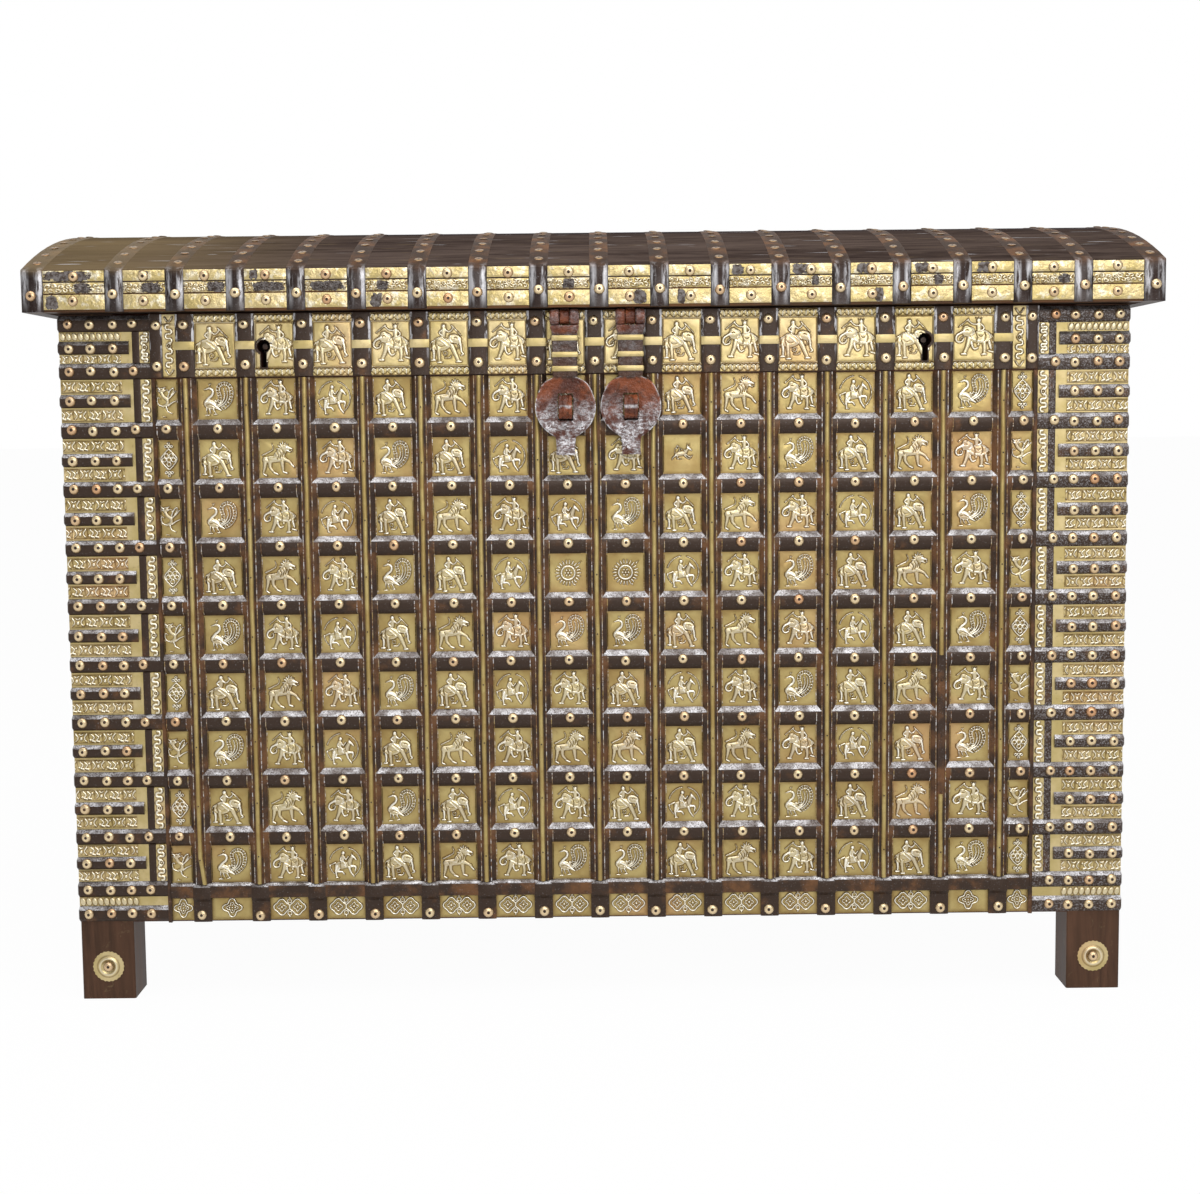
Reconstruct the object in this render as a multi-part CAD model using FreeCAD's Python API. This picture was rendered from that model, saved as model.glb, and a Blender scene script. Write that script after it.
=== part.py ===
import FreeCAD, Part

import math
import os

# Carcass, millimetres. X runs to the viewer's right, Y to the back, Z up.
# Depths are measured back from the front face of the front planks, so proud pieces have negative depths.
BODY_WIDTH = 1382
BODY_DEPTH = 705
BODY_BASE = 104
BODY_TOP = 904.5
POST_WIDTH = 70
POST_DEPTH = 62
PLANK = 24
PLANKS_HIGH = 3
EDGE_BEVEL = 1.5
TONGUE = 12
TONGUE_LENGTH = 14
TONGUE_INSET = 6
FLOOR_PLANK = 20
FLOOR_PLANKS = 4
BEARER_WIDTH = 45
BEARER_HEIGHT = 30
BEARER_X = (-590, 0, 590)

# Lid
LID_WIDTH = 1454
LID_OVERHANG = 35
LID_BASE = 905.5
LID_FRONT_HEIGHT = 53.5
LID_RADIUS = 1000
LID_PLANK = 18
LID_PLANKS = 5
LID_BOARD = 22
LOCK_RAIL_BACK = 47
LOCK_RAIL_HEIGHT = 27.5
LID_STRAP = 3.5
LID_STRAP_WIDTH = 24
LID_END_STRAP_WIDTH = 28
LID_STRAPS = 17
LID_STRAP_PITCH = 77
LID_STRAP_SHIFT = 6.5
LID_STRAP_BACK_END = 930
LID_BRASS_RIM = 6
LID_NAIL_ARC = 44
LID_NAIL_ROW = 17
LID_FRONT_NAIL_RISE = 21

# Front grid
COLUMN_PITCH = 75
INNER_UPRIGHTS = 13
OUTER_UPRIGHT_X = 527.5
FIELD_HALF = 568
EDGE_STRIP = 5
UPRIGHT_WIDTH = 24
UPRIGHT_TOP = 9
UPRIGHT_PROUD = 9.5
BEAD_WIDTH = 6
BAR_ROWS = 8
ROW_PITCH = 76.5
TOP_BAR_Z = 755
BAR_HEIGHT = 25
BAR_FLAT = 10
BAR_PROUD = 8
BRASS = 1
FRIEZE_BASE = 821
FRIEZE_BOARD = 6
FRIEZE_STRAP = 4
FRIEZE_LINK_HEIGHT = 11
FRIEZE_NAIL_SPREAD = 26
FRIEZE_END_PLATE = 17
FRIEZE_MARGIN = 1.5
BOTTOM_RAIL_BASE = 139
BOTTOM_RAIL_TOP = 156
BOTTOM_PLATE_BASE = 106
BOTTOM_NAIL_Z = 113

# Corner work
CORNER_WIDTH = 118
LONG_STRAP_HEIGHT = 21
SHORT_STRAP_HEIGHT = 18
SHORT_STRAP_LENGTH = 90
CORNER_STRAP = 4
LONG_STRAP_RETURN = 92
SHORT_STRAP_RETURN = 62
CORNER_TOP_ROWS = (892, 831)
CORNER_BOTTOM_ROWS = (149, 116)
CORNER_NAIL_EDGE = 14
CORNER_NAIL_PITCH = 27.6
CORNER_LONG_NAILS = 4
CORNER_SHORT_NAILS = 3
CORNER_IRON_STRIP = 10
CORNER_IRON_STRIP_AT = 94

# Nails and rosettes
NAIL_HEAD = 6.6
NAIL_RISE = 3.6
NAIL_SHANK = 1.7
NAIL_LENGTH = 16
LID_BRASS_NAIL_SHARES = (1 / 6, 5 / 6)
ROSETTE_RADIUS = 21
ROSETTE_BOSS = 9
ROSETTE_PLATE = 2
ROSETTE_RISE = 3
ROSETTE_Z = 44
ROSETTE_INSET = 35

# Hasps and staples
HASP_X = (-38, 46)
HASP_AXIS_DEPTH = -24
HASP_AXIS_Z = 893
HASP_PIN = 4
RUNNING_FIT = 0.06
HASP_BARREL = 11
HASP_HALF_BARREL = 19
HASP_EYE = 10
HASP_EYE_HALF = 6
HASP_EYE_ROOM = 0.6
HASP_PLATE = 5
HASP_STRAP_WIDTH = 32
HASP_DISC_Z = 779
HASP_DISC_RADIUS = 39
HASP_DISC = 6
HASP_SLOT_WIDTH = 20
HASP_SLOT_HEIGHT = 35
HASP_TAIL_WIDTH = 24
HASP_TAIL_END = 720
HASP_TAIL_LIP = 8
HASP_BAND_Z = (867, 846, 828)
HASP_BAND_HEIGHT = 6
HASP_BAND = 1.2
EYE_TANG_HEIGHT = 30
EYE_TANG = 4
EYE_TANG_SETBACK = 6.5
STAPLE_WIDTH = 17
STAPLE_STOCK = 4
STAPLE_RADIUS = 15.5
STAPLE_REACH = 43
STAPLE_CLENCH = 20
STAPLE_ROOM = 0.2

# Locks
LOCK_X = (-426, 426)
KEY_Z = 861
KEYHOLE_RADIUS = 8.5
KEY_SLOT_WIDTH = 7.5
KEY_SLOT_DROP = 27
KEY_RING_RADIUS = 11.5
KEY_RING = 2
DRILL_PIN = 3.5
DRILL_PIN_FRONT = 4
CASE_HALF_WIDTH = 45
CASE_DEPTH = 22
CASE_BASE = 828
CASE_TOP = 901
CASE_WALL = 2.5
BOLT_HALF_WIDTH = 11
BOLT_DEPTH = 31
BOLT_THICKNESS = 8
BOLT_BASE = 872
BOLT_TOP = 903
BOLT_NOTCH = 5
BOLT_THROW = 12
BOLT_ROOM = 0.4
SPRING = 1.2
SPRING_DROP = 24
KEEPER_HALF_WIDTH = 25
KEEPER = 2.5
KEEPER_MARGIN = 5
KEEPER_ROOM = 1

# Hinges
HINGE_X = (-480, 0, 480)
HINGE_HALF_WIDTH = 28
HINGE_LEAF = 2.5
HINGE_KNUCKLE = 6
HINGE_PIN = 3
HINGE_OFFSET = 6.5
HINGE_AXIS_Z = 905
HINGE_MIDDLE_HALF = 10
HINGE_GAP = 0.4
HINGE_BODY_LEAF_BASE = 835
HINGE_LID_LEAF_TOP = 928
HINGE_LEAF_ROOM = 1.5
HINGE_NAIL_X = 18
HINGE_BODY_NAIL_Z = (880, 852)
HINGE_LID_NAIL_Z = 918

# Places worked out from these
BACK_REACH = HINGE_OFFSET + HINGE_KNUCKLE
FRONT_Y = (STAPLE_REACH - BODY_DEPTH - BACK_REACH) / 2
HALF_BODY = BODY_WIDTH / 2
HALF_LID = LID_WIDTH / 2
POST_INNER = HALF_BODY - POST_WIDTH
LID_FRONT = -LID_OVERHANG
LID_EDGE_Z = LID_BASE + LID_FRONT_HEIGHT
LID_HALF_DEPTH = (BODY_DEPTH + LID_OVERHANG) / 2
LID_MIDDLE = BODY_DEPTH - LID_HALF_DEPTH
LID_CENTRE_Z = LID_EDGE_Z - math.sqrt(LID_RADIUS**2 - LID_HALF_DEPTH**2)
BAR_Z = [TOP_BAR_Z - row * ROW_PITCH for row in range(BAR_ROWS)]
HALF_BAR = BAR_HEIGHT / 2
FLOOR_BASE = BODY_BASE + BEARER_HEIGHT
HINGE_DEPTH = BODY_DEPTH + HINGE_OFFSET
OVERSIZE = 2000


def at(x, depth, z):
    """A point given by its place across, its depth behind the front face and its height."""
    return FreeCAD.Vector(x, FRONT_Y + depth, z)


def block(xs, depths, zs):
    """A box between two values each of x, depth and height."""
    x0, x1 = sorted(xs)
    d0, d1 = sorted(depths)
    z0, z1 = sorted(zs)
    return Part.makeBox(x1 - x0, d1 - d0, z1 - z0, at(x0, d0, z0))


def face_of(points):
    """A flat face whose outline joins the points with straight lines."""
    return Part.Face(Part.makePolygon(points + points[:1]))


def prism_x(outline, xs):
    """Extrudes an outline of (depth, z) points between two values of x."""
    points = [at(xs[0], depth, z) for depth, z in outline]
    return face_of(points).extrude(FreeCAD.Vector(xs[1] - xs[0], 0, 0))


def prism_y(outline, depths):
    """Extrudes an outline of (x, z) points between two depths."""
    points = [at(x, depths[0], z) for x, z in outline]
    return face_of(points).extrude(FreeCAD.Vector(0, depths[1] - depths[0], 0))


def prism_z(outline, zs):
    """Extrudes an outline of (x, depth) points between two heights."""
    points = [at(x, depth, zs[0]) for x, depth in outline]
    return face_of(points).extrude(FreeCAD.Vector(0, 0, zs[1] - zs[0]))


def rod_x(xs, depth, z, radius):
    """A cylinder along x."""
    return Part.makeCylinder(radius, xs[1] - xs[0], at(xs[0], depth, z), FreeCAD.Vector(1, 0, 0))


def rod_y(depths, x, z, radius):
    """A cylinder from front to back."""
    return Part.makeCylinder(radius, depths[1] - depths[0], at(x, depths[0], z), FreeCAD.Vector(0, 1, 0))


def eased(low, high, bevel):
    """The four sides of a rectangle with its corners cut off, as (u, v) points."""
    (u0, v0), (u1, v1) = low, high
    return [
        (u0 + bevel, v0), (u1 - bevel, v0), (u1, v0 + bevel), (u1, v1 - bevel),
        (u1 - bevel, v1), (u0 + bevel, v1), (u0, v1 - bevel), (u0, v0 + bevel),
    ]


def mirrored(solid):
    """The same piece on the other side of the chest."""
    return solid.mirror(FreeCAD.Vector(0, 0, 0), FreeCAD.Vector(1, 0, 0))


def moved(solid, x, depth, z):
    """A copy of a piece that was made at the front face's origin, carried to a place."""
    copy = solid.copy()
    copy.translate(FreeCAD.Vector(x, depth, z))
    return copy


def without(solid, cutters):
    """A solid with each cutter taken out of it."""
    return solid.cut(Part.makeCompound(cutters))


def joined(solids):
    """Several overlapping solids as one."""
    return solids[0].multiFuse(solids[1:]).removeSplitter()


def plank_levels():
    """The heights between which the wall planks run."""
    step = (BODY_TOP - BODY_BASE) / PLANKS_HIGH
    return [(BODY_BASE + step * row, BODY_BASE + step * (row + 1)) for row in range(PLANKS_HIGH)]


def corner_post(left, front):
    """A corner post that is the leg below, with a groove for the planks of each wall."""
    depths = (0, POST_DEPTH) if front else (BODY_DEPTH - POST_DEPTH, BODY_DEPTH)
    outline = eased((POST_INNER, depths[0]), (HALF_BODY, depths[1]), EDGE_BEVEL)
    wall_face = TONGUE_INSET if front else BODY_DEPTH - TONGUE_INSET - TONGUE
    end_face = POST_DEPTH - TONGUE_LENGTH if front else BODY_DEPTH - POST_DEPTH
    side = HALF_BODY - TONGUE_INSET
    levels = (BODY_BASE, BODY_TOP)
    grooves = [
        block((POST_INNER, POST_INNER + TONGUE_LENGTH), (wall_face, wall_face + TONGUE), levels),
        block((side - TONGUE, side), (end_face, end_face + TONGUE_LENGTH), levels),
    ]
    post = without(prism_z(outline, (0, BODY_TOP)), grooves)
    return mirrored(post) if left else post


def wall_plank(depth, levels, front):
    """A plank of the front or back wall, between the posts, with a tongue at each end."""
    outline = eased((depth, levels[0]), (depth + PLANK, levels[1]), EDGE_BEVEL)
    body = prism_x(outline, (-POST_INNER, POST_INNER))
    face = depth + TONGUE_INSET if front else depth + PLANK - TONGUE_INSET - TONGUE
    reach = POST_INNER + TONGUE_LENGTH
    bevelled = (levels[0] + EDGE_BEVEL, levels[1] - EDGE_BEVEL)
    tongue = block((-reach, reach), (face, face + TONGUE), bevelled)
    return joined([body, tongue])


def end_planks(left):
    """The planks of one end wall."""
    solids = []
    reach = (POST_DEPTH, BODY_DEPTH - POST_DEPTH)
    side = HALF_BODY - TONGUE_INSET
    for low, high in plank_levels():
        outline = eased((HALF_BODY - PLANK, low), (HALF_BODY, high), EDGE_BEVEL)
        tongue = block(
            (side - TONGUE, side),
            (reach[0] - TONGUE_LENGTH, reach[1] + TONGUE_LENGTH),
            (low + EDGE_BEVEL, high - EDGE_BEVEL),
        )
        solids.append(joined([prism_y(outline, reach), tongue]))
    return [mirrored(solid) for solid in solids] if left else solids


def keyhole_cutter(x, front):
    """The round hole and the slot under it, from a proud depth to the inside of the plank."""
    depths = (front, PLANK)
    slot = block(
        (x - KEY_SLOT_WIDTH / 2, x + KEY_SLOT_WIDTH / 2), depths, (KEY_Z - KEY_SLOT_DROP, KEY_Z)
    )
    return joined([rod_y(depths, x, KEY_Z, KEYHOLE_RADIUS), slot])


def staple_cutters():
    """The two mortises that each staple's legs pass through."""
    half = STAPLE_WIDTH / 2 + STAPLE_ROOM
    inner = STAPLE_RADIUS - STAPLE_STOCK - STAPLE_ROOM
    outer = STAPLE_RADIUS + STAPLE_ROOM
    cutters = []
    for x in HASP_X:
        for sign in (-1, 1):
            levels = (HASP_DISC_Z + sign * inner, HASP_DISC_Z + sign * outer)
            cutters.append(block((x - half, x + half), (-BAR_PROUD - BRASS, PLANK), levels))
    return cutters


def front_plank(row):
    """One plank of the front wall. The top one has the keyholes and the staple mortises."""
    plank = wall_plank(0, plank_levels()[row], True)
    if row < PLANKS_HIGH - 1:
        return plank
    return without(plank, [keyhole_cutter(x, -FRIEZE_BOARD) for x in LOCK_X] + staple_cutters())


def floor_bearers():
    """Battens under the floor, from the front wall to the back wall."""
    half = BEARER_WIDTH / 2
    depths = (PLANK, BODY_DEPTH - PLANK)
    return [block((x - half, x + half), depths, (BODY_BASE, FLOOR_BASE)) for x in BEARER_X]


def floor_planks():
    """Floor planks along the chest, notched round the posts."""
    reach = HALF_BODY - PLANK
    step = (BODY_DEPTH - 2 * PLANK) / FLOOR_PLANKS
    levels = (FLOOR_BASE, FLOOR_BASE + FLOOR_PLANK)
    corners = []
    for sign in (-1, 1):
        across = (sign * POST_INNER, sign * HALF_BODY)
        corners.append(block(across, (0, POST_DEPTH), levels))
        corners.append(block(across, (BODY_DEPTH - POST_DEPTH, BODY_DEPTH), levels))
    planks = []
    for row in range(FLOOR_PLANKS):
        start = PLANK + row * step
        outline = eased((start, levels[0]), (start + step, levels[1]), EDGE_BEVEL)
        planks.append(without(prism_x(outline, (-reach, reach)), corners))
    return planks


def arc_height(depth, radius):
    """The height of an arc about the lid's axis at a depth."""
    return LID_CENTRE_Z + math.sqrt(radius**2 - (depth - LID_MIDDLE) ** 2)


def arc_edge(x, depths, radius):
    """The arc about the lid's axis between two depths."""
    middle = sum(depths) / 2
    points = [at(x, depth, arc_height(depth, radius)) for depth in (depths[0], middle, depths[1])]
    return Part.Arc(*points).toShape()


def arched(x, outer, inner):
    """A face between two arcs about the lid's axis, each given by its two depths and its radius."""
    arcs = [arc_edge(x, *outer), arc_edge(x, *inner)]
    ends = [[edge.Vertexes[i].Point for edge in arcs] for i in (0, -1)]
    sides = [Part.LineSegment(*pair).toShape() for pair in ends]
    return Part.Face(Part.Wire(Part.__sortEdges__(arcs + sides)))


def lid_hollow():
    """The space below the lid's top planks."""
    radius = LID_RADIUS - LID_PLANK
    return rod_x((-OVERSIZE / 2, OVERSIZE / 2), LID_MIDDLE, LID_CENTRE_Z, radius)


def lid_plank_seams(radius):
    """The depths of the seams between the lid's planks on an arc. The outer two are upright."""
    whole = math.asin(LID_HALF_DEPTH / LID_RADIUS)
    angles = [whole * (2 * i / LID_PLANKS - 1) for i in range(LID_PLANKS + 1)]
    seams = [LID_MIDDLE + radius * math.sin(angle) for angle in angles]
    return [LID_FRONT] + seams[1:-1] + [BODY_DEPTH]


def lid_planks():
    """The curved planks of the lid's top."""
    inner_radius = LID_RADIUS - LID_PLANK
    outer = lid_plank_seams(LID_RADIUS)
    inner = lid_plank_seams(inner_radius)
    solids = []
    for i in range(LID_PLANKS):
        face = arched(-HALF_LID, (outer[i:i + 2], LID_RADIUS), (inner[i:i + 2], inner_radius))
        solids.append(face.extrude(FreeCAD.Vector(LID_WIDTH, 0, 0)))
    return solids


def lid_board(xs, depths):
    """A board of the lid's frame, cut to the curve of the planks above it."""
    return block(xs, depths, (LID_BASE, LID_EDGE_Z + LID_HALF_DEPTH)).common(lid_hollow())


def lid_end(left):
    """One end of the lid, between its rails."""
    end = lid_board(
        (HALF_LID - LID_BOARD, HALF_LID), (LID_FRONT + LID_BOARD, BODY_DEPTH - LID_BOARD)
    )
    return mirrored(end) if left else end


def keeper_depths(margin):
    """The depths of the bolt's path with a margin before and behind it."""
    return (BOLT_DEPTH - margin, BOLT_DEPTH + BOLT_THICKNESS + margin)


def lock_rail():
    """The rail behind the lid's front, with the recess and the mortise of each keeper."""
    reach = HALF_LID - LID_BOARD
    cutters = []
    for x in LOCK_X:
        plate = (x - KEEPER_HALF_WIDTH, x + KEEPER_HALF_WIDTH)
        hole = (x - BOLT_HALF_WIDTH - KEEPER_ROOM, x + BOLT_HALF_WIDTH + KEEPER_ROOM)
        top = BOLT_TOP + BOLT_THROW + KEEPER_ROOM
        cutters.append(block(plate, keeper_depths(KEEPER_MARGIN), (LID_BASE, LID_BASE + KEEPER)))
        cutters.append(block(hole, keeper_depths(KEEPER_ROOM), (LID_BASE, top)))
    depths = (LID_FRONT + LID_BOARD, LOCK_RAIL_BACK)
    return without(block((-reach, reach), depths, (LID_BASE, LID_BASE + LOCK_RAIL_HEIGHT)), cutters)


def lock_keepers():
    """The slotted plates let into the lock rail."""
    keepers = []
    for x in LOCK_X:
        half = BOLT_HALF_WIDTH + KEEPER_ROOM
        levels = (LID_BASE, LID_BASE + KEEPER)
        plate = block((x - KEEPER_HALF_WIDTH, x + KEEPER_HALF_WIDTH), keeper_depths(KEEPER_MARGIN), levels)
        keepers.append(plate.cut(block((x - half, x + half), keeper_depths(KEEPER_ROOM), levels)))
    return keepers


def lid_strap_places():
    """The middle and the width of every strap over the lid."""
    first = LID_STRAP_SHIFT - LID_STRAP_PITCH * (LID_STRAPS - 1) / 2
    inner = [(first + i * LID_STRAP_PITCH, LID_STRAP_WIDTH) for i in range(LID_STRAPS)]
    end = HALF_LID - LID_END_STRAP_WIDTH / 2
    return [(-end, LID_END_STRAP_WIDTH)] + inner + [(end, LID_END_STRAP_WIDTH)]


def lid_straps():
    """Iron straps from the lid's front face over the top and down the back."""
    outer_radius = LID_RADIUS + LID_STRAP
    front, back = LID_FRONT - LID_STRAP, BODY_DEPTH + LID_STRAP
    shoulder = arc_height(front, outer_radius)
    straps = []
    for x, width in lid_strap_places():
        left = x - width / 2
        corners = [
            at(left, front, shoulder), at(left, front, LID_BASE),
            at(left, LID_FRONT, LID_BASE), at(left, LID_FRONT, LID_EDGE_Z),
        ]
        rear = [
            at(left, BODY_DEPTH, LID_EDGE_Z), at(left, BODY_DEPTH, LID_STRAP_BACK_END),
            at(left, back, LID_STRAP_BACK_END), at(left, back, shoulder),
        ]
        outer = arc_edge(left, (front, back), outer_radius)
        inner = arc_edge(left, (LID_FRONT, BODY_DEPTH), LID_RADIUS)
        edges = [outer, inner]
        for run in (corners, rear):
            edges += [Part.LineSegment(a, b).toShape() for a, b in zip(run, run[1:])]
        face = Part.Face(Part.Wire(Part.__sortEdges__(edges)))
        straps.append(face.extrude(FreeCAD.Vector(width, 0, 0)))
    return straps


def lid_bays():
    """The two edges of every bay between neighbouring lid straps."""
    places = lid_strap_places()
    return [
        (x0 + w0 / 2, x1 - w1 / 2) for (x0, w0), (x1, w1) in zip(places, places[1:])
    ]


def lid_brass():
    """The brass panel of each bay of the lid's front."""
    levels = (LID_BASE + LID_BRASS_RIM, LID_EDGE_Z)
    return [block(bay, (LID_FRONT - BRASS, LID_FRONT), levels) for bay in lid_bays()]


def nail():
    """A dome-headed nail at the front face's origin, its head to the front."""
    top = at(0, -NAIL_RISE, 0)
    rim = at(NAIL_HEAD, 0, 0)
    shoulder = at(NAIL_HEAD * math.sin(math.pi / 4), -NAIL_RISE * math.cos(math.pi / 4), 0)
    tip_length = NAIL_SHANK * 2
    run = [
        rim, at(NAIL_SHANK, 0, 0), at(NAIL_SHANK, NAIL_LENGTH - tip_length, 0),
        at(0, NAIL_LENGTH, 0), top,
    ]
    edges = [Part.Arc(top, shoulder, rim).toShape()]
    edges += [Part.LineSegment(a, b).toShape() for a, b in zip(run, run[1:])]
    face = Part.Face(Part.Wire(Part.__sortEdges__(edges)))
    return face.revolve(at(0, 0, 0), FreeCAD.Vector(0, 1, 0))


def turned_nail(x, depth, z, outward):
    """A nail at a place, its head pointing along a direction."""
    turn = FreeCAD.Rotation(FreeCAD.Vector(0, -1, 0), outward)
    copy = moved(nail(), 0, -FRONT_Y, 0)
    copy.Placement = FreeCAD.Placement(at(x, depth, z), turn).multiply(copy.Placement)
    return copy


def lid_nails():
    """Nails of the lid: in the straps, in the brass panels and in the hinge leaves."""
    solids = []
    radius = LID_RADIUS + LID_STRAP
    backward = FreeCAD.Vector(0, 1, 0)
    for x, _ in lid_strap_places():
        solids.append(moved(nail(), x, LID_FRONT - LID_STRAP, LID_BASE + LID_FRONT_NAIL_RISE))
        for i in range(LID_NAIL_ROW):
            angle = (i - (LID_NAIL_ROW - 1) / 2) * LID_NAIL_ARC / LID_RADIUS
            outward = FreeCAD.Vector(0, math.sin(angle), math.cos(angle))
            depth = LID_MIDDLE + radius * math.sin(angle)
            solids.append(turned_nail(x, depth, arc_height(depth, radius), outward))
    for x0, x1 in lid_bays():
        low, high = LID_BASE + LID_BRASS_RIM, LID_EDGE_Z
        for share in LID_BRASS_NAIL_SHARES:
            level = low + (high - low) * share
            solids.append(moved(nail(), (x0 + x1) / 2, LID_FRONT - BRASS, level))
    for x in HINGE_X:
        for offset in (-HINGE_NAIL_X, HINGE_NAIL_X):
            solids.append(turned_nail(x + offset, BODY_DEPTH + HINGE_LEAF, HINGE_LID_NAIL_Z, backward))
    return solids


def upright_places():
    """The middles of the uprights between the columns."""
    half = (INNER_UPRIGHTS - 1) // 2
    inner = [COLUMN_PITCH * i for i in range(-half, half + 1)]
    return [-OUTER_UPRIGHT_X] + inner + [OUTER_UPRIGHT_X]


def columns():
    """The two edges of every column between uprights, with the half columns at the ends."""
    half = UPRIGHT_WIDTH / 2
    places = upright_places()
    edges = [(a + half, b - half) for a, b in zip(places, places[1:])]
    end = OUTER_UPRIGHT_X + half
    return [(-FIELD_HALF, -end)] + edges + [(end, FIELD_HALF)]


def square_rows():
    """The two heights of every row of squares, from the top down."""
    tops = [FRIEZE_BASE] + [z - HALF_BAR for z in BAR_Z]
    bases = [z + HALF_BAR for z in BAR_Z] + [BOTTOM_RAIL_TOP]
    return list(zip(bases, tops))


def brass_squares():
    """The plates of the full columns. Two of them let the staples through."""
    plates = [
        block(column, (-BRASS, 0), levels) for column in columns()[1:-1] for levels in square_rows()
    ]
    return [without(plate, staple_cutters()) for plate in plates]


def narrow_squares():
    """The plates of the two half columns."""
    ends = (columns()[0], columns()[-1])
    return [block(column, (-BRASS, 0), levels) for column in ends for levels in square_rows()]


def bar_outline(z):
    """The section of a cross bar about a height, as (depth, z) points."""
    flat = BAR_FLAT / 2
    return [(0, z - HALF_BAR), (-BAR_PROUD, z - flat), (-BAR_PROUD, z + flat), (0, z + HALF_BAR)]


def cross_bars():
    """Bevelled iron bars across the field, the top one notched for the staples."""
    bars = [prism_x(bar_outline(z), (-FIELD_HALF, FIELD_HALF)) for z in BAR_Z]
    return [without(bar, staple_cutters()) for bar in bars]


def uprights():
    """Iron uprights lapped over the cross bars, and a plain strip at each side of the field."""
    whole_bars = [prism_x(bar_outline(z), (-FIELD_HALF, FIELD_HALF)) for z in BAR_Z]
    levels = (BOTTOM_RAIL_TOP, FRIEZE_BASE)
    base, top = UPRIGHT_WIDTH / 2, UPRIGHT_TOP / 2
    solids = []
    for x in upright_places():
        outline = [(x - base, 0), (x - top, -UPRIGHT_PROUD), (x + top, -UPRIGHT_PROUD), (x + base, 0)]
        solids.append(without(prism_z(outline, levels), whole_bars))
    for sign in (-1, 1):
        across = (sign * FIELD_HALF, sign * (FIELD_HALF + EDGE_STRIP))
        solids.append(block(across, (-BAR_PROUD, 0), (BODY_BASE, FRIEZE_BASE)))
    return solids


def beads():
    """Half-round brass beads along the uprights."""
    solids = []
    half = BEAD_WIDTH / 2
    height = FRIEZE_BASE - BOTTOM_RAIL_TOP
    for x in upright_places():
        start = at(x, -UPRIGHT_PROUD, BOTTOM_RAIL_TOP)
        round_bar = Part.makeCylinder(half, height, start)
        depths = (-UPRIGHT_PROUD - half, -UPRIGHT_PROUD)
        front_half = block((x - half, x + half), depths, (BOTTOM_RAIL_TOP, FRIEZE_BASE))
        solids.append(round_bar.common(front_half))
    return solids


def frieze_board():
    """The raised board that carries the frieze, with the keyholes."""
    reach = FIELD_HALF + EDGE_STRIP
    board = block((-reach, reach), (-FRIEZE_BOARD, 0), (FRIEZE_BASE, BODY_TOP))
    return without(board, [keyhole_cutter(x, -FRIEZE_BOARD) for x in LOCK_X])


def frieze_levels():
    """The heights of the frieze plates and straps."""
    return (FRIEZE_BASE + FRIEZE_MARGIN, BODY_TOP - FRIEZE_MARGIN)


def frieze_plates():
    """The embossed plates of the frieze. Two of them have keyholes."""
    depths = (-FRIEZE_BOARD - BRASS, -FRIEZE_BOARD)
    inner = OUTER_UPRIGHT_X + UPRIGHT_WIDTH / 2
    narrow = [(sign * inner, sign * (inner + FRIEZE_END_PLATE)) for sign in (-1, 1)]
    cutters = [keyhole_cutter(x, -FRIEZE_BOARD - BRASS) for x in LOCK_X]
    plates = [block(across, depths, frieze_levels()) for across in columns()[1:-1] + narrow]
    return [without(plate, cutters) for plate in plates]


def frieze_end_straps():
    """The two edges of the narrow strap at each end of the frieze."""
    start = OUTER_UPRIGHT_X + UPRIGHT_WIDTH / 2 + FRIEZE_END_PLATE
    return [(sign * start, sign * (FIELD_HALF + EDGE_STRIP)) for sign in (-1, 1)]


def frieze_straps():
    """Iron straps between the frieze plates."""
    half = UPRIGHT_WIDTH / 2
    depths = (-FRIEZE_BOARD - FRIEZE_STRAP, -FRIEZE_BOARD)
    places = [(x - half, x + half) for x in upright_places()] + frieze_end_straps()
    return [block(across, depths, frieze_levels()) for across in places]


def frieze_links():
    """Short brass strips across the middle of the frieze straps."""
    half = UPRIGHT_WIDTH / 2
    front = -FRIEZE_BOARD - FRIEZE_STRAP
    middle = sum(frieze_levels()) / 2
    levels = (middle - FRIEZE_LINK_HEIGHT / 2, middle + FRIEZE_LINK_HEIGHT / 2)
    return [block((x - half, x + half), (front - BRASS, front), levels) for x in upright_places()]


def bottom_rail():
    """The bevelled bar under the lowest row of squares."""
    middle = (BOTTOM_RAIL_BASE + BOTTOM_RAIL_TOP) / 2
    flat = BAR_FLAT / 2
    outline = [
        (0, BOTTOM_RAIL_BASE), (-BAR_PROUD, middle - flat),
        (-BAR_PROUD, middle + flat), (0, BOTTOM_RAIL_TOP),
    ]
    return prism_x(outline, (-FIELD_HALF, FIELD_HALF))


def bottom_plates():
    """The embossed plates along the bottom edge."""
    levels = (BOTTOM_PLATE_BASE, BOTTOM_RAIL_BASE)
    return [block(column, (-BRASS, 0), levels) for column in columns()]


def bottom_straps():
    """The short iron straps between the bottom plates."""
    half = UPRIGHT_WIDTH / 2
    levels = (BODY_BASE, BOTTOM_RAIL_BASE)
    return [block((x - half, x + half), (-FRIEZE_STRAP, 0), levels) for x in upright_places()]


def corner_rows():
    """The middle heights of the long corner straps, from the top down."""
    return [*CORNER_TOP_ROWS, *BAR_Z, *CORNER_BOTTOM_ROWS]


def corner_bays():
    """The lower and upper edge of the space between neighbouring long straps."""
    rows = corner_rows()
    half = LONG_STRAP_HEIGHT / 2
    return [(low + half, high - half) for high, low in zip(rows, rows[1:])]


def short_rows():
    """The middle heights of the short corner straps. The lowest bay is too small for one."""
    return [(low + high) / 2 for low, high in corner_bays()[:-1]]


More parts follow.
